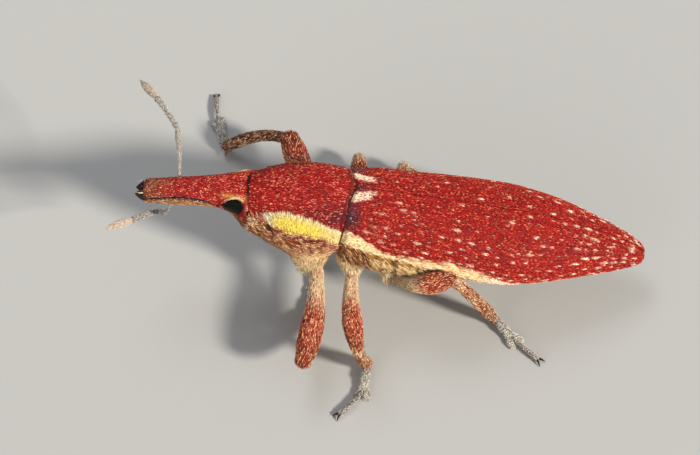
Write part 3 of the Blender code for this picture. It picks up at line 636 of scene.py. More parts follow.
# The right stripe starts that many degrees lower
RIGHT_DROP = 8
COLLAR_SLANT = 0.13
# The chest swells round the front hips, which stand on it like broad cones
HIP_SWELL = 0.24
# The bald place behind the eye: distance forward, degrees from the top and radius
BARE_SPOT = (2.30, 87, 0.14)
PRONOTUM_HAIRS = 31600
FRINGE_HAIRS = 420
JOINT_HAIRS = 700


def tilt_back(centre_x, centre_z, tilt, aside, up):
    """A section's points turned about the axis across the body, at its place on the trunk."""
    return stand(np.stack([centre_x - np.sin(tilt) * up, aside, centre_z + np.cos(tilt) * up], axis=1))


def pronotum_places(u, v):
    """Distance forward of the elytra, and angle from the top."""
    return np.interp(v, PRONOTUM_ROWS, PRONOTUM_REACH), (u - 0.5) * 2 * math.pi


def pronotum_degrees(u, v):
    """Degrees from the top, down either side."""
    return np.degrees(np.abs(pronotum_places(u, v)[1]))


def hip_bulge(reach, turned):
    """1 on the chest round a front hip, and nothing away from it."""
    return bell(reach - 1.05, np.where(reach < 1.05, 1.15, 0.75)) * bell(turned - 2.22, 0.42)


def bare_spot(reach, degrees):
    """The small black bald place behind the eye, below the stripe's front end."""
    place, bearing, radius = BARE_SPOT
    return blend(1.3, 0.8, np.hypot(reach - place, np.radians(degrees - bearing) * 1.1) / radius)


def pronotum_surface(u, v, height=0.0):
    """The pronotum right round, with a waist behind its collar, the hips and a dimple at its base."""
    reach, angle = pronotum_places(u, v)
    half_width, high, deep = profile(PRONOTUM_SECTIONS, reach)
    size = np.interp(v, PRONOTUM_ROWS, PRONOTUM_SIZE)
    waist = 0.012 * bell(reach - 2.62, 0.16) * bell(angle, 1.6) + 0.02 * bell(reach - 0.14, 0.07)
    waist -= 0.012 * blend(2.78, 2.88, reach) + HIP_SWELL * hip_bulge(reach, np.abs(angle))
    dimple = 0.03 * bell(reach - 0.25, 0.35) * bell(angle, 0.16)
    dimple += 0.15 * blend(2.30, 2.93, reach) * blend(2.15, 2.75, np.abs(angle))
    rise = height - COAT_DEPTH - waist - dimple
    aside, up = section_point(half_width * size + rise, high * size + rise, deep * size + rise, angle)
    fade = np.maximum(0.0, 1 - reach)
    collar = COLLAR_SLANT * np.maximum(0.0, 1 - (PRONOTUM_LENGTH - reach)) * np.sin(angle) ** 2
    point_x = -math.cos(PRONOTUM_DROOP) * reach + base_line(angle) * fade + collar
    point_z = -math.sin(PRONOTUM_DROOP) * reach
    return tilt_back(point_x, point_z, PRONOTUM_DROOP * reach / PRONOTUM_LENGTH, aside, up)


def pronotum_marks(u, v):
    """The marks of the pronotum: its stripes, scaly flanks and the bald places, with painted shade on the
    upper side at the rear, under each stripe and on the rear hem.
    """
    reach, angle = pronotum_places(u, v)
    degrees = np.degrees(np.abs(angle))
    ragged = fray(angle * 1.2, reach, 0.10, 0.035, 21)
    upper, lower = profile(STRIPE_EDGES, reach)
    upper = upper + RIGHT_DROP * (angle > 0)
    jitter = 9 * (ragged - 0.5)
    inside = blend(-2.0, 2.0, degrees - upper + jitter) * blend(-2.5, 2.5, lower - degrees + jitter)
    inside *= blend(2.46, 2.22, reach + 0.3 * (ragged - 0.5))
    yellow = inside * blend(2.30, 1.85, reach) * (0.30 + 0.70 * blend(3, 13, degrees - upper + 0.6 * jitter))
    yellow *= 0.55 + 0.45 * blend(0.15, 0.95, reach + 0.5 * (ragged - 0.5))
    below = blend(-3, 8, degrees - lower)
    front = blend(2.2, 2.6, reach) * blend(60, 74, degrees)
    rim = 0.6 * blend(0.20, 0.04, reach) * bell(angle, 0.45)
    brown = np.maximum.reduce([below, 0.8 * front, rim])
    flecks = blend(0.50, 0.72, ragged) * (0.50 * below + 0.40 * front)
    chest = blend(108, 140, degrees) * (0.25 + 0.5 * ragged)
    hip = 0.75 * hip_bulge(reach, np.abs(angle)) * blend(104, 122, degrees) * (0.5 + 0.7 * ragged)
    pale = np.clip(np.maximum.reduce([inside, flecks, chest, hip]), 0, 1)
    yellow = np.maximum.reduce([yellow, 0.22 * hip, 0.22 * flecks * below])
    # Painted shade: a darker patch on the upper side at the rear, and a dark line just under the stripe.
    dusk = 0.75 * bell(reach - 0.42, 0.62) * bell(degrees - 52, 18) * blend(0.22, 0.55, ragged)
    dusk = np.maximum(dusk, 0.5 * bell(degrees - lower - 5, 5) * blend(2.3, 2.0, reach))
    dusk = np.maximum(dusk, 0.4 * below * blend(0.42, 0.28, ragged))
    bare = bare_spot(reach, degrees)
    brown = np.maximum(brown, 0.5 * blend(0.78, 0.9, mottle(angle * 1.2, reach, 0.08, 23))) * (1 - bare)
    # Painted shade: the hem, where the pronotum turns in at its rear against the wing cases.
    hem = blend(0.05, 0.01, reach)
    dusk = np.maximum.reduce([dusk * (1 - inside), bare, hem])
    return np.stack([yellow * (1 - hem), pale * (1 - bare) * (1 - hem), brown, dusk], axis=1)


def plain_marks(yellow=0.0, pale=0.0, brown=0.0, dusk=0.0):
    """Marks that are the same all over a piece."""

    def marks(u, v):
        return np.tile((yellow, pale, brown, dusk), (len(u), 1))

    return marks


def hair_room(u, v):
    """The pronotum's hairs stand closest on its scales, and none grow on the bald place."""
    bare = bare_spot(pronotum_places(u, v)[0], pronotum_degrees(u, v))
    return (0.6 + 0.4 * pronotum_marks(u, v)[:, 1]) * (1 - bare)


pronotum_skin = skin_material("pronotum_skin", dusk=(0.014, 0.006, 0.006), yellow=(0.55, 0.32, 0.06),
                              pit_scale=8000.0, bump=0.9)
pronotum_hair = coat_material(
    "pronotum_hair", (0.60, 0.020, 0.013), (0.94, 0.34, 0.22), brown=(0.46, 0.090, 0.022),
    brown_glint=(1.0, 0.60, 0.24), pale=(1.0, 0.84, 0.60), glint_from=0.87, darkest=0.26, dimmest=0.60)
show(lay_skin("pronotum", pronotum_surface, pronotum_marks, 180, 150),
     pronotum_skin, "pronotum", "prothorax")
rng = np.random.default_rng(11)
roots = scatter(pronotum_surface, PRONOTUM_HAIRS, rng, hair_room, v_range=(0.060, 0.948))
reach, angle = pronotum_places(*roots)
degrees = pronotum_degrees(*roots)
brown, chest = pronotum_marks(*roots)[:, 2], blend(115, 150, degrees)
upper, lower = profile(STRIPE_EDGES, reach)
stripe = blend(-1, 1, degrees - upper) * blend(-1, 1, lower - degrees) * blend(2.5, 2.4, reach)
# Hairs of the stripe stand up across it, leaning forward at its front end. All others lie back.
upward = np.sign(angle) * (1.65 - 0.75 * blend(1.2, 2.4, reach))
hairs = lay_hairs(
    pronotum_surface, pronotum_marks, roots, rng,
    length=(0.11 + 0.07 * stripe + 0.04 * brown + 0.06 * chest) * (0.5 + 0.5 * blend(0.05, 0.2, reach)),
    width=0.0155 + 0.004 * stripe, lift=0.16 + 0.12 * stripe + 0.14 * brown + 0.2 * chest,
    lie=np.where(stripe > 0.5, upward, math.pi), stray=0.22, mixed=0.3 * brown * (1 - stripe),
)
# A fringe behind the eye fans forward and up from the corner of the collar
roots = scatter(
    pronotum_surface, FRINGE_HAIRS, rng,
    lambda u, v: blend(66, 76, pronotum_degrees(u, v)) * blend(124, 112, pronotum_degrees(u, v)),
    v_range=(0.83, 0.94),
)
fan = np.sign(pronotum_places(*roots)[1]) * (1.1 - 1.2 * blend(80, 118, pronotum_degrees(*roots)))
fringe = lay_hairs(pronotum_surface, plain_marks(pale=0.7, brown=0.6), roots, rng,
                   length=0.20, width=0.016, lift=0.25, lie=fan, mixed=0.5)
# Brown hairs at the lower hind corner lie back over the joint to the wing cases
roots = scatter(pronotum_surface, JOINT_HAIRS, rng, lambda u, v: blend(98, 108, pronotum_degrees(u, v)),
                v_range=(0.058, 0.13))
overlap = lay_hairs(pronotum_surface, plain_marks(pale=0.4, brown=0.9), roots, rng,
                    length=0.27, width=0.016, lift=0.22, lie=math.pi, mixed=0.6)
show_hairs("pronotum_coat", [hairs, fringe, overlap], pronotum_hair, "pronotum")


# The head with its snout, one skin. The snout is a hard tube that carries the feelers half way
# along and the jaws at its end, and a groove for each feeler runs back from it to below the eye.
# The sheet is laid right round, from inside the pronotum to the mouth.
HEAD_LENGTH = 0.78
SNOUT_DROOP = math.radians(14.3)
HEAD_BASE = (-2.977, -0.03)
# Distance forward of the pronotum, half width, height above the snout's axis, depth below it
HEAD_SECTIONS = [
    (-0.30, 0.60, 0.40, 0.92), (0.03, 0.665, 0.478, 1.02), (0.25, 0.61, 0.475, 0.92),
    (0.50, 0.54, 0.48, 0.70), (0.78, 0.485, 0.475, 0.51), (1.48, 0.43, 0.43, 0.44),
    (1.98, 0.42, 0.395, 0.40), (2.48, 0.395, 0.355, 0.365), (2.74, 0.38, 0.335, 0.345),
    (2.85, 0.35, 0.30, 0.31), (2.89, 0.29, 0.25, 0.26),
]
HEAD_ROWS = (0.0, 0.96, 0.98, 1.0)
HEAD_REACH = (-0.30, 2.89, 2.87, 2.78)
HEAD_SIZE = (1.0, 1.0, 0.80, 0.0)
# Where the feeler's groove runs, in degrees from the top, by distance forward, and its depth
GROOVE = [(0.60, 112, 0.0), (0.80, 104, 0.05), (1.18, 84, 0.06), (1.55, 76, 0.06), (1.90, 70, 0.065),
          (2.05, 70, 0.045), (2.45, 76, 0.042), (2.75, 82, 0.038), (2.89, 84, 0.020)]
GROOVE_HALF_WIDTH = 0.052
NECK_FADE = 0.55
# The eye's place on the head: distance forward and degrees from the top, with its half sizes
EYE_PLACE = (0.37, 86)
EYE_HALF = (0.295, 28)
EYE_SKEW = 0.28
EYE_TAPER = 0.28
HEAD_HAIRS = 22000


def head_centre(reach):
    """Where the head's or snout's axis is that far forward, and how its section tilts."""
    share = np.clip(reach / 0.6, 0, 1)
    tilt = PRONOTUM_DROOP + (SNOUT_DROOP - PRONOTUM_DROOP) * share
    return HEAD_BASE[0] - math.cos(SNOUT_DROOP) * reach, HEAD_BASE[1] - math.sin(SNOUT_DROOP) * reach, tilt


def head_places(u, v):
    """Distance forward of the pronotum, and angle from the top."""
    return np.interp(v, HEAD_ROWS, HEAD_REACH), (u - 0.5) * 2 * math.pi


def eye_off(reach, degrees):
    """0 at the middle of the eye, 1 on its outline: an oval with its point to the front."""
    ahead = (reach - EYE_PLACE[0]) / EYE_HALF[0]
    below = (degrees - EYE_PLACE[1]) / EYE_HALF[1]
    return np.hypot(ahead, (below - EYE_SKEW * ahead) / (1 - EYE_TAPER * np.clip(ahead, -0.5, 1)))


def groove_depth(reach, angle, half_width):
    """How deep the feelers' grooves are at a place."""
    bearing, depth = profile(GROOVE, reach)
    off = np.radians(np.degrees(np.abs(angle)) - bearing) * half_width
    return depth * bell(off, GROOVE_HALF_WIDTH)


def head_surface(u, v, height=0.0):
    """The head and snout right round, with grooves, a pit between the eyes, and the throat."""
    reach, angle = head_places(u, v)
    half_width, high, deep = profile(HEAD_SECTIONS, reach)
    size = np.interp(v, HEAD_ROWS, HEAD_SIZE)
    rise = height * np.minimum(1, size * 4) - COAT_DEPTH
    rise = rise - groove_depth(reach, angle, half_width)
    rise -= 0.022 * bell(reach - 0.85, 0.14) * bell(angle, 0.10)
    rise += 0.012 * bell(angle, 0.10) * blend(1.1, 1.4, reach) * blend(2.3, 1.9, reach)
    rise -= 0.05 * blend(2.77, 2.87, reach) * bell(angle, 0.30)
    rise += 0.22 * bell(reach, 0.27) * bell(np.abs(angle) - 2.3, 0.5) * blend(-0.10, 0.03, reach)
    rise += 0.15 * bell(reach, 0.30) * bell(np.abs(angle) - math.pi, 0.55) * blend(-0.10, 0.03, reach)
    rise += 0.020 * bell(eye_off(reach, np.degrees(np.abs(angle))) - 1.12, 0.14)
    aside, up = section_point(half_width + rise, high + rise, deep + rise, angle)
    centre_x, centre_z, tilt = head_centre(reach)
    slanted = COLLAR_SLANT * np.clip(1 - reach / NECK_FADE, 0, 1) * np.sin(angle) ** 2
    return tilt_back(centre_x + slanted, centre_z, tilt, aside * size, up * size)


def head_marks(u, v):
    """The marks of the head: pale round the eyes, and brown below and at the snout's end, with painted shade
    in the feelers' grooves and at the neck.
    """
    reach, angle = head_places(u, v)
    degrees = np.degrees(np.abs(angle))
    half_width = profile(HEAD_SECTIONS, reach)[0]
    ragged = fray(angle * 0.5, reach, 0.09, 0.03, 31)
    bearing = profile(GROOVE, reach)[0]
    below = np.where(reach > 0.6, blend(2, 14, degrees - bearing), blend(104, 122, degrees))
    tip = blend(1.85, 2.75, reach + 0.7 * (ragged - 0.5))
    off = eye_off(reach, degrees)
    rim = bell(off - 1.07, 0.08) * blend(78, 66, degrees) * blend(0.08, 0.18, reach)
    gold = bell(reach - 0.34, 0.28) * bell(degrees - 52, 8) * blend(0.10, 0.35, ragged)
    rear = 0.45 * bell(off - 1.15, 0.12) * blend(0.10, 0.05, reach) * bell(degrees - 84, 12)
    yellow = np.maximum(0.40 * np.clip(gold, 0, 1) * (1 - 0.6 * rim), 0.07 * below)
    under = below * (0.02 + 0.22 * blend(0.5, 0.75, ragged))
    pale = np.clip(0.85 * rim + 0.6 * rear + under + 0.10 * tip * blend(0.5, 0.8, ragged), 0, 1)
    brown = np.clip(0.9 * below + 0.8 * tip, 0, 1)
    # Painted shade: dark in the feelers' grooves and at the neck, where the head runs into the pronotum.
    dusk = np.clip(2.0 * groove_depth(reach, angle, half_width) / 0.05, 0, 1)
    dusk = np.maximum(dusk, blend(0.03, -0.02, reach))
    return np.stack([yellow, pale, brown, dusk], axis=1)


# The head skin's dusk is the painted shade of the grooves and the neck.
head_skin = skin_material("head_skin", dusk=(0.012, 0.003, 0.003), pit_scale=10000.0, bump=0.8)
head_hair = coat_material(
    "head_hair", (0.60, 0.022, 0.013), (0.95, 0.44, 0.30), brown=(0.29, 0.085, 0.038),
    brown_glint=(0.84, 0.46, 0.26), pale=(1.0, 0.80, 0.58), glint_from=0.87, darkest=0.25, dimmest=0.60)
show(lay_skin("head_and_snout", head_surface, head_marks, 144, 260), head_skin, "head", "head", "rostrum")


def off_eyes(u, v):
    """1 on the head's skin, 0 in the feelers' grooves and under the eyes."""
    reach, angle = head_places(u, v)
    lens = eye_off(reach, np.degrees(np.abs(angle))) > 1.02
    return lens * blend(0.024, 0.008, groove_depth(reach, angle, 1.0)) * blend(0.0, 0.05, reach)


rng = np.random.default_rng(12)
roots = scatter(
    head_surface, HEAD_HAIRS, rng, lambda u, v: off_eyes(u, v) * (0.65 + 0.35 * head_marks(u, v)[:, 1]),
    v_range=(0.075, 0.965),
)
pale, brown = head_marks(*roots)[:, 1:3].T
snout = blend(0.5, 1.2, head_places(*roots)[0])
hairs = lay_hairs(head_surface, head_marks, roots, rng, length=0.095 + 0.03 * pale - 0.02 * snout,
                  width=0.015 + 0.002 * pale, lift=0.18 + 0.20 * pale, lie=math.pi, mixed=0.35 * brown)
show_hairs("head_and_snout_coat", [hairs], head_hair, "head")


# The eyes. Flat black ovals of many small facets, set into the sides of the head with their points
# to the front. Each is a low dome over its oval on the head, closed underneath.
EYE_DOME = 0.060
EYE_ROOT = -0.05
# The share of the sheet that is the dome
EYE_RIM = 0.75
EYE_BLACK = (0.003, 0.004, 0.002)
eye_glass, tree, shader = new_material("eye_glass", roughness=0.32, specular=0.06, colour=EYE_BLACK)
facets = add(tree, "TexVoronoi", Vector=add(tree, "TexCoord", "Object"), Scale=42000.0)
sunk = reckon(tree, "MULTIPLY", facets, -1.0)
tree.links.new(add(tree, "Bump", Height=sunk, Strength=0.5, Distance=1e-5), shader.inputs["Normal"])


def eye_surface(side):
    """The lens of one eye: u runs round it, v from its middle over the rim to its underside."""

    def surface(u, v, height=0.0):
        out = np.interp(v, (0, EYE_RIM, 1), (0, 1, 0))
        turn = u * 2 * math.pi
        ahead = out * np.cos(turn)
        below = out * np.sin(turn) * (1 - EYE_TAPER * np.clip(ahead, -0.5, 1)) + EYE_SKEW * ahead
        reach = EYE_PLACE[0] + EYE_HALF[0] * ahead
        angle = side * np.radians(EYE_PLACE[1] + EYE_HALF[1] * below)
        dome = EYE_DOME * np.sqrt(np.maximum(0, 1 - out**2)) + EYE_ROOT * out**8
        lift = np.where(v <= EYE_RIM, dome, EYE_ROOT)
        head_v = np.interp(reach, HEAD_REACH[:2], HEAD_ROWS[:2])
        return head_surface(angle / (2 * math.pi) + 0.5, head_v, lift + height)

    return surface


for side, side_name in SIDES:
    lens_mesh = lay_skin("eye_lens_" + side_name, eye_surface(side), plain_marks(), 64, 40)
    show(lens_mesh, eye_glass, "eye", "eye_" + side_name)


# The jaws and the mouth's bristles. Two short black pincers closed on each other at the snout's end,
# each a sphere drawn out and cut flat where it meets the other, with two stiff hairs above each.
JAW_LENGTH = 0.29
JAW_HALF_WIDTH = 0.175
JAW_HALF_HEIGHT = 0.165
JAW_PLACE = 2.86
BRISTLE_LENGTH = 0.24
BRISTLE_PLACE = (0.21, 0.17)
black_horn, tree, shader = new_material("black_horn", roughness=0.36, specular=0.25)
grit = add(tree, "TexNoise", Vector=add(tree, "TexCoord", "Object"), Scale=30000.0, Detail=3.0)
horn = mix(tree, grit, (0.004, 0.003, 0.003), (0.030, 0.010, 0.006))
tree.links.new(horn, shader.inputs["Base Color"])
tree.links.new(add(tree, "Bump", Height=grit, Strength=0.4, Distance=1e-5), shader.inputs["Normal"])
pale_bristle, _, _ = new_material("pale_bristle", colour=(0.80, 0.70, 0.50))


def stand_point(x, y, z):
    """One point on the trunk's own axis, put where the standing trunk has it."""
    return stand(np.array([[x, y, z]]))[0]


def finish_shape(name, shape):
    """The mesh of a shape worked in millimetres at the snout's end, put in its place."""
    centre_x, centre_z, tilt = head_centre(JAW_PLACE)
    turn = Matrix(TRUNK_TURN.tolist()) @ Matrix.Rotation(-tilt, 3, "Y")
    place = Matrix.Translation(Vector(stand_point(centre_x, 0.0, centre_z)))
    bmesh.ops.transform(shape, matrix=place @ turn.to_4x4(), verts=shape.verts)
    bmesh.ops.scale(shape, vec=(MM, MM, MM), verts=shape.verts)
    bmesh.ops.recalc_face_normals(shape, faces=shape.faces)
    return finish_mesh(name, shape)


shape = bmesh.new()
for side, _ in SIDES:
    ball = bmesh.ops.create_uvsphere(shape, u_segments=24, v_segments=16, radius=1.0)["verts"]
    bmesh.ops.scale(shape, vec=(JAW_LENGTH, JAW_HALF_WIDTH, JAW_HALF_HEIGHT), verts=ball)
    for vertex in ball:
        forward = max(0.0, -vertex.co.x / JAW_LENGTH)
        vertex.co.y = max(-JAW_HALF_WIDTH * 0.75, vertex.co.y) * side * (1 - 0.45 * forward**2)
        vertex.co.y += side * JAW_HALF_WIDTH * (0.92 - 0.25 * forward)
        vertex.co.z *= 1 - 0.5 * forward**2
show(finish_shape("jaws", shape), black_horn, "jaw", "mandibles")

shape = bmesh.new()
for side, lean in ((-1, 0.0), (-1, 0.35), (1, 0.0), (1, 0.35)):
    length = BRISTLE_LENGTH * (1 - lean)
    cone = bmesh.ops.create_cone(
        shape, cap_ends=True, segments=8, radius1=0.011, radius2=0.003, depth=length
    )["verts"]
    bmesh.ops.translate(shape, vec=(0, 0, length / 2), verts=cone)
    for turn, axis in ((math.radians(-90), "Y"), (-side * lean, "Z")):
        bmesh.ops.rotate(shape, matrix=Matrix.Rotation(turn, 3, axis), verts=cone)
    bmesh.ops.translate(shape, vec=(0.0, side * BRISTLE_PLACE[0], BRISTLE_PLACE[1]), verts=cone)
show(finish_shape("mouth_bristles", shape), pale_bristle, "jaw")


# The underside. Hard plates of the middle and hind chest and five of the belly, brick red under
# cream hairs, that run up under the wing cases. One sheet is laid right round, with a step at
# each joint between plates.
PLATE_ENDS = (0.86, 1.95, 3.45, 4.75, 5.45, 6.10)
BELLY_ROWS = (0.0, 0.02, 0.04, 0.91, 0.95, 0.98, 1.0)
BELLY_REACH = (0.06, 0.06, 0.08, 7.05, 7.32, 7.45, 7.45)
BELLY_SIZE = (0.3, 0.9, 1.0, 1.0, 0.88, 0.60, 0.0)
# The chest swells below the wing cases, where the mid and hind legs are hung
FLANK_SWELL = 0.20
FLANK_ANGLE = math.radians(130)
FLANK_SPREAD = math.radians(26)
FLANK_ROWS = [(0.0, 0.85), (0.35, 1.0), (1.7, 1.0), (3.0, 0.0)]
UNDERSIDE_HAIRS = 26000


def flank_swell(along, turned):
    """How far the chest stands out at an angle from the top."""
    share = np.maximum(profile(FLANK_ROWS, along)[0], 0)
    return FLANK_SWELL * share * bell(turned - FLANK_ANGLE, FLANK_SPREAD)


def belly_places(u, v):
    """Place along the elytra, the angle right round from the top, and that from the top down."""
    angle = u * 2 * math.pi
    return np.interp(v, BELLY_ROWS, BELLY_REACH), angle, np.minimum(angle, 2 * math.pi - angle)


def belly_surface(u, v, height=0.0):
    """The underside right round, with a step at each joint between its plates."""
    along, angle, turned = belly_places(u, v)
    half_width, high, deep = profile(ELYTRA_SECTIONS, along)
    edge = np.radians(profile(ELYTRON_EDGE, along)[0])
    small = np.minimum(np.minimum(half_width, high), deep)
    wall = np.minimum(0.50, 0.55 * small) * (1 - 0.5 * np.minimum(1, turned / edge) ** 2) + 0.06
    under_wing = blend(0.10, 0.0, turned - edge)
    step = np.zeros(len(along))
    for end in PLATE_ENDS:
        step += 0.045 * bell(np.minimum(along - end, 0.0), 0.10) * (along <= end + 0.03)
        step -= 0.03 * bell(along - end - 0.02, 0.03)
    flank = 0.015 * bell((turned - edge - 0.42) * 1.4, 0.035)
    flank *= blend(0.3, 0.5, along) * blend(2.1, 1.9, along)
    rise = height - COAT_DEPTH - wall * under_wing - flank + 0.4 * step * (1 - under_wing)
    rise += flank_swell(along, turned) * (1 - under_wing)
    size = np.interp(v, BELLY_ROWS, BELLY_SIZE)
    aside, up = section_point(half_width + rise, high + rise, deep + rise, angle)
    forward = base_line(turned) * np.maximum(0.0, 1 - along)
    return stand(np.stack([along + forward, aside * size, up * size], axis=1))


def belly_marks(u, v):
    """The marks of the underside: cream hairs, closest on the chest's flanks, and bare pits."""
    along, angle, turned = belly_places(u, v)
    below = np.degrees(turned) - profile(ELYTRON_EDGE, along)[0]
    ragged = fray(angle * 1.3, along, 0.12, 0.04, 51)
    flank = blend(30, 8, below) * blend(5.4, 4.0, along)
    chest = blend(2.6, 1.8, along)
    pale = 0.40 + 0.15 * flank + 0.22 * chest * blend(0.35, 0.6, ragged) + 1.3 * (ragged - 0.5)
    pale = np.clip(pale, 0, 1) * (1 - 0.55 * blend(15, 3, below) * blend(1.2, 0.7, along))
    pale *= 0.40 + 0.60 * blend(0.3, 1.2, along)
    upper = bell(below - 5, 10) * blend(0.5, 0.9, along) * blend(2.8, 2.0, along)
    pale = np.maximum(pale, np.minimum(1.3 * upper, 1) * blend(0.1, 0.5, ragged))
    pits = 0.8 * blend(0.68, 0.76, mottle(angle * 1.3, along, 0.14, 53))
    return np.stack([np.zeros(len(along)), pale * (1 - pits), 0.55 + 0.45 * chest, pits], axis=1)


belly_skin = skin_material("belly_skin", field=(0.30, 0.030, 0.020), brown=(0.17, 0.045, 0.015),
                           dusk=(0.04, 0.014, 0.008), pale=(0.55, 0.33, 0.09), cover=0.5)
show(lay_skin("underside_plates", belly_surface, belly_marks, 144, 260), belly_skin, "underside",
     "mesothorax", "metathorax", "ventrite_1", "ventrite_2", "ventrite_3", "ventrite_4", "ventrite_5")
pale_coat = coat_material(
    "pale_coat", (0.52, 0.12, 0.06), (0.92, 0.70, 0.40), brown=(0.36, 0.068, 0.020),
    brown_glint=(0.96, 0.60, 0.26), dusk=(0.11, 0.030, 0.010), dusk_glint=(0.50, 0.26, 0.10),
    pale=(1.0, 0.73, 0.36), glint_from=0.80, darkest=0.18, dimmest=0.50)


def in_the_open(u, v):
    """1 on the plates that the wing cases leave bare."""
    along, _, turned = belly_places(u, v)
    below = turned - np.radians(profile(ELYTRON_EDGE, along)[0])
    return blend(0.0, 0.04, below) * (0.5 + 0.5 * belly_marks(u, v)[:, 1])


rng = np.random.default_rng(13)
roots = scatter(belly_surface, UNDERSIDE_HAIRS, rng, in_the_open, u_range=(0.2, 0.8), v_range=(0.045, 0.975))
pale = belly_marks(*roots)[:, 1]
along, angle, _ = belly_places(*roots)
chest = blend(2.6, 1.8, along)
# Hairs of the chest are long and lie back and down
downwards = np.sign(math.pi - angle) * 0.6 * chest * blend(0.2, 0.9, np.abs(math.pi - angle))
low = chest * blend(0.95, 0.70, np.abs(math.pi - angle))
hairs = lay_hairs(
    belly_surface, belly_marks, roots, rng, length=0.13 + 0.03 * pale + 0.14 * chest,
    width=0.0155 + 0.001 * chest, lift=0.26 + 0.22 * chest + 0.25 * low, lie=downwards, stray=0.24,
    mixed=0.42 * (1 - 0.75 * pale),
)
show_hairs("underside_coat", [hairs], pale_coat, "underside")


# The legs. Each is a hip cone, a club-shaped thigh, a straight shin with a spur at its end, a foot
# of three joints, the last in two lobes, and a joint with two claws. They follow the same paths as
# the solids, from the same named lengths and angles, and are thinner where the real ones are.
FEMUR_LENGTH = {"front": 3.10, "mid": 2.62, "hind": 2.25}
TIBIA_LENGTH = {"front": 2.40, "mid": 1.58, "hind": 2.48}
TARSUS_LENGTH = {"front": 1.15, "mid": 1.00, "hind": 1.00}
CLAW_SEGMENT_LENGTH = 0.62
ANKLE_HEIGHT = 0.29
# Each hip's place: along the trunk, out to the side and below the axis
HIP = {"front": (-0.80, 0.72, 1.76), "mid": (0.38, 0.93, 1.60), "hind": (1.47, 0.98, 1.56)}
# Where each part of a leg points: degrees back from straight out to the side, and a thigh's rise
POSTURE = {
    "front_left": {"femur": (1.8, -5.2), "tibia": -176, "tarsus": -175, "claw": -168},
    "front_right": {"femur": (-20.8, -5.3), "tibia": -77, "tarsus": -23, "claw": -8},
    "mid_left": {"femur": (9, 4), "tibia": 160, "tarsus": -5, "claw": -50},
    "mid_right": {"femur": (-7, -18), "tibia": 172, "tarsus": 160, "claw": 150},
    "hind_left": {"femur": (68, 29), "tibia": 96, "tarsus": 46, "claw": 52},
    "hind_right": {"femur": (-1, -16), "tibia": 138, "tarsus": 112, "claw": 100},
}
# How far a hip cone's root lies forward of the hip, and how strongly the thigh leaves it rearward
COXA_LEAN = {"front": 0.14, "mid": 0.05, "hind": 0.0}
TROCHANTER_LEAN = {"front": 1.2, "mid": 0.0, "hind": 0.3}
# How far the knee runs on past the thigh, how far a thigh bows back and out, and a cone outwards
KNEE_KNOB = {"front": 0.24, "mid": 0.22, "hind": 0.23}
FEMUR_BOW = {"front_left": (0.22, 0.0), "mid_left": (-0.18, 0.0), "hind_left": (0.0, 0.34)}
COXA_BEND = {"front": 0.15, "mid": 0.08, "hind": 0.08}
# Rows of a limb: place along it, half width and half height
COXA_ROWS = {
    "front": [(0, 0.66, 0.46), (0.30, 0.60, 0.47), (0.62, 0.47, 0.43), (0.85, 0.35, 0.35), (1, 0.27, 0.27)],
    "mid": [(0, 0.44, 0.40), (0.35, 0.42, 0.40), (0.75, 0.29, 0.29), (1, 0.20, 0.20)],
    "hind": [(0, 0.38, 0.36), (0.35, 0.39, 0.38), (0.75, 0.29, 0.29), (1, 0.20, 0.20)],
}
# How far the hip cone runs past the thigh's root, forward and down
CONE_TIP = {"front": (0.10, 0.22), "mid": (0.0, 0.0), "hind": (0.0, 0.0)}
# How far up a shin arches
TIBIA_ARCH = {"front_right": 0.24}
# The share of each thigh that is cream, from its root
PALE_UNTIL = {"front_left": 0.38, "mid_left": 0.36, "hind_left": 0.50,
              "front_right": 0.15, "mid_right": 0.25, "hind_right": 0.25}
# How much cream dusts a knee
PALE_KNEE = {"mid_right": 0.50, "hind_right": 0.75}
FEMUR_ROWS = {
    "front": [(0, 0.13, 0.13), (0.08, 0.17, 0.17), (0.3, 0.22, 0.22), (0.5, 0.29, 0.29), (0.66, 0.32, 0.33),
              (0.85, 0.31, 0.32), (1, 0.24, 0.26)],
    "front_right": [(0, 0.13, 0.13), (0.08, 0.17, 0.17), (0.3, 0.22, 0.22), (0.5, 0.29, 0.29),
                    (0.66, 0.325, 0.335), (0.85, 0.345, 0.355), (1, 0.285, 0.30)],
    "mid": [(0, 0.13, 0.13), (0.08, 0.17, 0.17), (0.3, 0.21, 0.21), (0.5, 0.25, 0.25), (0.68, 0.275, 0.28),
            (0.85, 0.245, 0.26), (1, 0.19, 0.21)],
    "hind": [(0, 0.13, 0.13), (0.08, 0.18, 0.18), (0.3, 0.23, 0.23), (0.5, 0.27, 0.27), (0.68, 0.29, 0.30),
             (0.85, 0.26, 0.28), (1, 0.20, 0.22)],
}
TIBIA_ROWS = [(0, 0.10, 0.10), (0.08, 0.145, 0.15), (0.25, 0.15, 0.16), (0.6, 0.155, 0.165),
              (0.85, 0.17, 0.17), (1, 0.135, 0.135)]
# Each spur at a shin's end: its place across, how far it bends with the foot, length and half width
SPURS = {
    "others": [(-0.5, 0.4, 0.26, 0.045), (0.6, 0.4, 0.26, 0.045)],
    "front_right": [(-0.5, 0.4, 0.20, 0.045), (0.2, -1.2, 0.27, 0.10)],
}
# How much of a shin is dark: the front right shin's own colour, and painted shade on the left mid shin
DARK_AND_SHADED_SHIN = {"front_right": 0.9, "mid_left": 0.3}
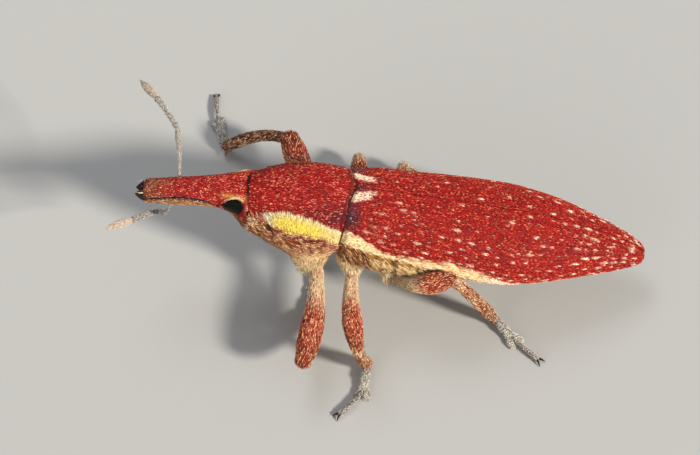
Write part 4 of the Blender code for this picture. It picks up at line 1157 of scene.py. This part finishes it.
# The foot's first two joints: where each starts and ends, the heights there, and its rows
FOOT_JOINTS = [
    (0.0, 0.36, 0.04, 0.09, [(0, 0.06, 0.06), (0.3, 0.09, 0.085), (1, 0.135, 0.11)]),
    (0.36, 0.62, 0.09, 0.085, [(0, 0.06, 0.05), (0.4, 0.11, 0.085), (1, 0.14, 0.09)]),
]
LOBE_ROWS = [(0, 0.06, 0.05), (0.5, 0.11, 0.065), (1, 0.10, 0.045)]
LAST_JOINT_ROWS = [(0, 0.04, 0.04), (0.5, 0.055, 0.055), (1, 0.08, 0.07)]
HOOK_ROWS = [(0, 0.038, 0.04), (0.5, 0.028, 0.03), (1, 0.008, 0.008)]
CLAW_SPREAD = 26
# How many hairs each part has, how long and how wide they are
LEG_HAIRS = {
    "cone": (2200, 0.20, 0.017), "cone_tip": (800, 0.27, 0.014), "thigh": (4200, 0.15, 0.017),
    "shin": (3000, 0.12, 0.016), "joint": (700, 0.09, 0.012), "lobe": (700, 0.08, 0.012),
    "last_joint": (700, 0.08, 0.011),
}
# The share of a limb's sheet that each rounded end takes
CAP_SHARE = 0.08


def heading(side, yaw, rise=0.0):
    """A direction in the world, from an angle off straight out to one side and a rise."""
    yaw, rise = math.radians(yaw), math.radians(rise)
    level = math.cos(rise)
    return np.array([math.sin(yaw) * level, side * math.cos(yaw) * level, math.sin(rise)])


def along_limb(v):
    """0 at the root of a limb, 1 at its end, and level in its rounded ends."""
    return np.clip((v - CAP_SHARE) / (1 - 2 * CAP_SHARE), 0.0, 1.0)


def limb_surface(start, control, end, rows, caps=(0.7, 1.0)):
    """A tube on a bend as a surface: u runs round it, v along it, and both ends are rounded."""
    start, control, end = (np.asarray(point, float) for point in (start, control, end))
    chord = end - start
    across = np.cross(chord, (0.0, 0.0, 1.0))
    if np.linalg.norm(across) < 0.25 * np.linalg.norm(chord):
        across = np.cross(chord, (1.0, 0.0, 0.0))
    across = unit(across)

    def surface(u, v, height=0.0):
        t = along_limb(v)
        centre = np.outer((1 - t) ** 2, start) + np.outer(2 * t * (1 - t), control) + np.outer(t**2, end)
        along = unit(np.outer(1 - t, control - start) + np.outer(t, end - control))
        over = unit(np.cross(np.broadcast_to(across, along.shape), along))
        aside = np.cross(along, over)
        half_width, half_height = profile(rows, t)
        first = np.clip(1 - v / CAP_SHARE, 0, 1) * math.pi / 2
        last = np.clip((v - 1) / CAP_SHARE + 1, 0, 1) * math.pi / 2
        shift = caps[1] * np.sin(last) - caps[0] * np.sin(first)
        size = np.cos(first) * np.cos(last)
        turn = u * 2 * math.pi
        wide = (half_width + height) * size
        tall = (half_height + height) * size
        point = centre + along * (shift * (half_height + height))[:, None]
        return point + aside * (wide * np.cos(turn))[:, None] + over * (tall * np.sin(turn))[:, None]

    return surface


def join_skins(name, skins):
    """One mesh from several closed skins, such as the joints of a foot."""
    shape = bmesh.new()
    for skin in skins:
        shape.from_mesh(skin)
        bpy.data.meshes.remove(skin)
    return finish_mesh(name, shape)


def hip_marks(seed):
    """Brick brown at the root of the hip, golden cream towards its tip."""

    def marks(u, v):
        ragged = fray(u * 1.5, v, 0.12, 0.05, seed)
        pale = 0.97 * blend(-0.25, 0.30, v + 0.40 * (ragged - 0.5))
        golden = 0.30 * pale * blend(0.9, 0.3, v)
        return np.stack([golden, pale, np.full(len(u), 0.9), np.zeros(len(u))], axis=1)

    return marks


def thigh_marks(seed, pale_until, knee):
    """Cream at the root, red along the club, and darker at the knee or dusted with cream."""

    def marks(u, v):
        t = along_limb(v)
        ragged = fray(u * 1.5, t * 2.6, 0.10, 0.04, seed)
        pale = 0.95 * blend(pale_until + 0.12, pale_until - 0.12, t + 0.35 * (ragged - 0.5))
        pale = np.maximum(pale, 0.75 * blend(0.58, 0.70, ragged) * blend(1.0, 0.3, t))
        pale = np.maximum(pale, knee * blend(0.80, 0.95, t + 0.2 * (ragged - 0.5)))
        brown = 0.5 * blend(0.78, 0.98, t)
        # Painted shade: the thigh's end inside the hip cone is dark.
        root = blend(0.075, 0.045, v)
        pale *= 1 - root
        dusk = np.maximum(0.25 * brown * (1 - knee), root)
        return np.stack([0.08 * pale, pale, np.maximum(brown, 0.24), dusk], axis=1)

    return marks


def shin_marks(seed, dark):
    """Brown with golden and pale flecks, paler at the knee, darker under it and towards the foot."""

    def marks(u, v):
        t = along_limb(v)
        ragged = fray(u, t * 2.4, 0.09, 0.03, seed)
        pale = 0.6 * blend(0.50, 0.72, ragged) + 0.3 * blend(0.15, 0.0, t)
        dusk = np.maximum(0.3 * blend(0.6, 1.0, t), dark * blend(0.7, 0.4, ragged))
        pale = np.minimum(pale, 1) * (1 - 0.5 * dark)
        return np.stack([0.1 * pale, pale, np.full(len(u), 0.75), dusk], axis=1)

    return marks


hip_skin = skin_material("hip_skin", field=(0.30, 0.06, 0.03), brown=(0.26, 0.08, 0.035),
                         pale=(0.70, 0.46, 0.22), cover=0.7)
thigh_skin = skin_material("thigh_skin", field=(0.34, 0.035, 0.025), cover=0.6, pit_scale=7000.0)
shin_skin = skin_material("shin_skin", field=(0.22, 0.035, 0.022), brown=(0.12, 0.030, 0.018), cover=0.4)
foot_skin = skin_material("foot_skin", field=(0.10, 0.07, 0.06), blotch=(0.05, 0.032, 0.030),
                          pale=(0.50, 0.46, 0.42), cover=0.5, blotch_scale=5000.0)
leg_coat = coat_material("leg_coat", (0.66, 0.062, 0.034), (0.98, 0.48, 0.28), brown=(0.50, 0.14, 0.055),
                         pale=(1.0, 0.84, 0.55), yellow=(1.0, 0.56, 0.14), dusk=(0.09, 0.035, 0.020),
                         dusk_glint=(0.42, 0.24, 0.13), glint_from=0.72, darkest=0.26, dimmest=0.66)
ash_coat = coat_material("ash_coat", (0.34, 0.29, 0.24), (0.92, 0.88, 0.80), pale=(0.86, 0.82, 0.74),
                         glint_from=0.62, darkest=0.30, dimmest=0.45)
tailward = np.array([1.0, 0.0, 0.0]) @ TRUNK_TURN.T
downward = np.array([0.0, 0.0, -1.0]) @ TRUNK_TURN.T


def hairy(surface, marks, seed, count, length, width, lift=0.25, stray=0.3, span=(0.03, 0.97), mixed=0.0):
    """Hairs over a whole limb."""
    rng = np.random.default_rng(seed)
    roots = scatter(surface, count, rng, lambda u, v: np.ones(len(u)), v_range=span)
    return lay_hairs(surface, marks, roots, rng, length, width, lift, stray=stray, mixed=mixed)


def hip_cone(pair, side, hip):
    """The cone that a leg stands on, rooted in the wall of the pronotum or of the hind chest."""
    place, inner = HIP[pair][0] - COXA_LEAN[pair], 0.66 * HIP[pair][1]
    axis_drop = 0.0
    if place < 0.0:
        half_width, _, deep = profile(PRONOTUM_SECTIONS, -place)[:, 0]
        axis_drop = -place * math.tan(PRONOTUM_DROOP)
    else:
        half_width, _, deep = profile(ELYTRA_SECTIONS, place)[:, 0]
        swell = flank_swell(place, math.pi - math.asin(inner / half_width))[0]
        half_width, deep = half_width + swell, deep + swell
    under = deep * math.sqrt(1 - (inner / half_width) ** 2)
    socket = stand_point(place, side * inner, -under - axis_drop)
    slope = unit(np.array([0.0, side * inner / half_width**2, -under / deep**2])) @ TRUNK_TURN.T
    control = (socket + hip) / 2 + slope * COXA_BEND[pair]
    past, down = CONE_TIP[pair]
    tip = hip - tailward * past + downward * down
    return limb_surface(socket - slope * 0.12, control, tip, COXA_ROWS[pair], caps=(0.3, 0.8))


def leg(pair, side_name, side, seed):
    """One whole leg, from the hip down to the claws."""
    label = pair + "_" + side_name
    posture = POSTURE[label]
    along_axis, out, below = HIP[pair]
    hip = stand_point(along_axis, side * out, -below)
    cone, marks = hip_cone(pair, side, hip), hip_marks(seed)
    show(lay_skin("hip_cone_" + label, cone, marks, 32, 30), hip_skin, "hip", "coxa_" + label)
    red_hairs = [
        hairy(cone, marks, seed, *LEG_HAIRS["cone"], lift=0.40, span=(0.12, 0.80), mixed=0.12),
        hairy(cone, marks, seed + 3, *LEG_HAIRS["cone_tip"], lift=0.65, span=(0.60, 0.99), mixed=0.05),
    ]

    femur_way = heading(side, *posture["femur"])
    knee = hip + femur_way * FEMUR_LENGTH[pair]
    leave = unit(downward * 0.6 + femur_way * 1.6 + tailward * TROCHANTER_LEAN[pair])
    start = hip + leave * 0.16 + tailward * CONE_TIP[pair][0]
    bow_back, bow_out = FEMUR_BOW.get(label, (0.0, 0.0))
    control = (hip + leave * 0.32 + knee) / 2 + tailward * bow_back + heading(side, 0.0) * bow_out
    thigh = limb_surface(start, control, knee, FEMUR_ROWS.get(label, FEMUR_ROWS[pair]))
    marks = thigh_marks(seed, PALE_UNTIL[label], PALE_KNEE.get(label, 0.0))
    show(lay_skin("thigh_" + label, thigh, marks, 36, 72), thigh_skin, "thigh", "femur_" + label)
    red_hairs.append(hairy(thigh, marks, seed + 1, *LEG_HAIRS["thigh"], lift=0.26, stray=0.20, mixed=0.2))

    drop = knee[2] - ANKLE_HEIGHT
    run = math.sqrt(max(TIBIA_LENGTH[pair] ** 2 - drop**2, 0.0))
    ankle = knee + heading(side, posture["tibia"]) * run
    ankle[2] = ANKLE_HEIGHT
    shin_way = unit(ankle - knee)
    leave = unit(femur_way + shin_way)
    start = knee + leave * (KNEE_KNOB[pair] - 0.06)
    control = start + leave * 0.22 + (ankle - start) * 0.3
    control[2] += 2 * TIBIA_ARCH.get(label, 0.0)
    shin = limb_surface(start, control, ankle, TIBIA_ROWS)
    # The left mid shin's dark share is painted shade.
    marks = shin_marks(seed + 5, DARK_AND_SHADED_SHIN.get(label, 0.0))
    skins = [lay_skin("shin", shin, marks, 28, 60)]
    foot_way = heading(side, posture["tarsus"])
    for lean, bent, long, thick in SPURS.get(label, SPURS["others"]):
        root = ankle - shin_way * 0.02 + foot_way * 0.10 * np.sign(bent)
        root = root + np.cross(foot_way, (0, 0, lean * 0.16))
        tip = root + unit(foot_way * bent + shin_way) * long
        tip[2] = max(tip[2], 0.03)
        middle = (root + tip) / 2 + foot_way * 0.03 + shin_way * 0.1 * (bent < 0)
        spur = limb_surface(root, middle, tip, [(0, thick, thick), (1, 0.010, 0.010)])
        skins.append(lay_skin("spur", spur, plain_marks(brown=1.0, pale=0.25), 10, 10))
    show(join_skins("shin_" + label, skins), shin_skin, "shin", "tibia_" + label)
    red_hairs.append(hairy(shin, marks, seed + 2, *LEG_HAIRS["shin"], lift=0.30))
    show_hairs("leg_%s_coat" % label, red_hairs, leg_coat, "thigh")

    first = ankle + unit(shin_way + foot_way + np.array([0.0, 0.0, -0.1])) * 0.14
    toe = ankle + foot_way * TARSUS_LENGTH[pair]
    beside = unit(np.cross(foot_way, (0.0, 0.0, 1.0)))
    heel_height = max(first[2], 0.20)

    def along_foot(share, rise):
        """A point of the foot, by its share of the way to the toe."""
        point = first * (1 - share) + toe * share
        point[2] = heel_height * (1 - share) ** 2 + rise
        return point

    skins, ash_hairs = [], []
    ash_marks = plain_marks(pale=0.5)
    for from_share, to_share, rise_in, rise_out, rows in FOOT_JOINTS:
        heel, end = along_foot(from_share, rise_in), along_foot(to_share, rise_out)
        joint = limb_surface(heel, (heel + end) / 2, end, rows, caps=(0.6, 0.5))
        skins.append(lay_skin("joint", joint, ash_marks, 24, 24))
        ash_hairs.append(hairy(joint, ash_marks, seed + 7, *LEG_HAIRS["joint"], lift=0.3))
    fork = along_foot(0.62, 0.085)
    for lobe_side, _ in SIDES:
        tip = along_foot(0.98, 0.062) + beside * lobe_side * 0.135
        control = (fork + tip) / 2 + beside * lobe_side * 0.05
        lobe = limb_surface(fork, control, tip, LOBE_ROWS, caps=(0.5, 1.3))
        skins.append(lay_skin("lobe", lobe, ash_marks, 24, 28))
        ash_hairs.append(hairy(lobe, ash_marks, seed + 8, *LEG_HAIRS["lobe"], lift=0.3))
    show(join_skins("foot_" + label, skins), foot_skin, "foot", "tarsus_" + label)

    claw_way = heading(side, posture["claw"])
    onward = unit(foot_way + claw_way)
    tip = toe + onward * 0.12 + foot_way * 0.02 + claw_way * CLAW_SEGMENT_LENGTH
    tip[2] = 0.09
    control = toe + onward * 0.2
    control[2] = 0.20
    last_joint = limb_surface(along_foot(0.72, 0.10), control, tip, LAST_JOINT_ROWS)
    skin = lay_skin("last_joint_" + label, last_joint, plain_marks(pale=0.3), 20, 40)
    ash_hairs.append(hairy(last_joint, ash_marks, seed + 9, *LEG_HAIRS["last_joint"], lift=0.3))
    claws = []
    for spread in (-CLAW_SPREAD, CLAW_SPREAD):
        hook_way = heading(side, posture["claw"] + spread)
        start, control, end = (tip + hook_way * reach for reach in (0.02, 0.18, 0.24))
        control[2], end[2] = 0.13, 0.015
        hook = limb_surface(start, control, end, HOOK_ROWS)
        claws.append(lay_skin("hook", hook, plain_marks(brown=1.0, dusk=1.0), 12, 20))
    show(skin, foot_skin, "foot", "claw_" + label)
    show(join_skins("claws_" + label, claws), black_horn, "foot")
    show_hairs("foot_%s_coat" % label, ash_hairs, ash_coat, "foot")


for side, side_name in SIDES:
    for number, pair in enumerate(("front", "mid", "hind")):
        leg(pair, side_name, side, 100 + 20 * number + 200 * (side > 0))


# The feelers. A slender stalk from the snout's groove, seven small beads from the elbow on, and a
# pointed club of four closed joints, all under grey-white down. Each joint is a sheet laid on a bend.
STALK_PLACE = 1.16
FUNICLE_LENGTH = 1.18
CLUB_LENGTH = 0.65
FEELER_KNOB = 0.20
FEELER_POSTURE = {
    "right": {
        "reach": 1.73, "leave": (0, 8), "scape": (-3.8, 20.1), "funicle": (-36.7, 14.1), "club": (-43, -6),
    },
    "left": {
        "reach": 1.437, "leave": (-30, -35), "scape": (-97.8, -61.1), "funicle": (-39.4, 35.7),
        "club": (-56, 15),
    },
}
STALK_ROWS = [(0, 0.05, 0.05), (0.1, 0.042, 0.042), (0.5, 0.05, 0.05), (0.85, 0.085, 0.085),
              (1, 0.085, 0.085)]
# Length and half width of each bead
BEADS = [(0.24, 0.072), (0.20, 0.068), (0.15, 0.068), (0.14, 0.070), (0.14, 0.075), (0.14, 0.080),
         (0.15, 0.086)]
# A bead's half width along it, as a share of its widest
BEAD_SHAPE = ((0, 0.55), (0.55, 0.92), (0.85, 1.0), (1, 0.8))
CLUB_ROWS = [(0, 0.06, 0.06), (0.18, 0.098, 0.098), (0.45, 0.115, 0.115), (0.7, 0.100, 0.100),
             (1, 0.035, 0.035)]
CLUB_WAISTS = (0.30, 0.52, 0.74)
feeler_skin = skin_material("feeler_skin", field=(0.22, 0.15, 0.12), blotch=(0.10, 0.06, 0.05),
                            pale=(0.62, 0.60, 0.54), cover=0.7, blotch_scale=5000.0)
club_skin = skin_material("club_skin", field=(0.30, 0.19, 0.16), blotch=(0.18, 0.12, 0.11), cover=0.7)
club_coat = coat_material("club_coat", (0.58, 0.47, 0.42), (0.88, 0.84, 0.78), glint_from=0.40)

for side, side_name in SIDES:
    posture = FEELER_POSTURE[side_name]
    name = "feeler_" + side_name
    reach = HEAD_LENGTH + STALK_PLACE
    centre_x, centre_z, _ = head_centre(reach)
    centre = stand_point(centre_x, 0.0, centre_z)
    out = heading(side, *posture["leave"])
    root = centre + out * (profile(HEAD_SECTIONS, reach)[0][0] - 0.07)
    elbow = centre + heading(side, *posture["scape"]) * posture["reach"]
    control = root + out * 0.42 + (elbow - root) * 0.15
    stalk = limb_surface(root, control, elbow, STALK_ROWS)
    down = plain_marks(pale=0.4)
    skin = lay_skin(name + "_stalk", stalk, down, 20, 60)
    show(skin, feeler_skin, "feeler", "antenna_%s_scape" % side_name)
    hairs = [hairy(stalk, down, 500 + side, 1500, 0.07, 0.010, lift=0.3)]

    whip = heading(side, *posture["funicle"])
    leave = unit(unit(elbow - control) + whip)
    start = elbow + leave * 0.07
    neck = elbow + whip * FUNICLE_LENGTH
    control = start + leave * 0.22 + whip * 0.15
    beads = []
    travelled = 0.0
    total = sum(length for length, _ in BEADS)
    for number, (length, wide) in enumerate(BEADS):
        base, end = (
            start * (1 - share) ** 2 + control * 2 * share * (1 - share) + neck * share**2
            for share in (travelled / total, (travelled + length * 0.96) / total)
        )
        travelled += length
        rows = [(place, share * wide, share * wide) for place, share in BEAD_SHAPE]
        bead = limb_surface(base, (base + end) / 2, end, rows, caps=(0.4, 0.3))
        beads.append(lay_skin("bead", bead, down, 20, 18))
        hairs.append(hairy(bead, down, 520 + side + number, 330, 0.075, 0.010, lift=0.35))
    show(join_skins(name + "_beads", beads), feeler_skin, "feeler", "antenna_%s_funicle" % side_name)
    show_hairs(name + "_coat", hairs, ash_coat, "feeler")

    way = heading(side, *posture["club"])
    leave = unit(whip + way)
    start = neck + leave * 0.05
    tip = neck + leave * (FEELER_KNOB + 0.06) + way * (CLUB_LENGTH - 0.10)
    club = limb_surface(start, (start + tip) / 2 + leave * 0.05, tip, CLUB_ROWS, caps=(0.4, 1.0))

    def ringed(u, v, height=0.0):
        """The club with a fine waist between its four joints."""
        waist = sum(bell(along_limb(v) - place, 0.022) for place in CLUB_WAISTS)
        return club(u, v, height - 0.014 * waist)

    skin = lay_skin(name + "_club", ringed, down, 28, 72)
    show(skin, club_skin, "feeler_club", "antenna_%s_club" % side_name)
    hairs = hairy(ringed, down, 560 + side, 1800, 0.06, 0.010, lift=0.3)
    show_hairs(name + "_club_coat", [hairs], club_coat, "feeler_club")
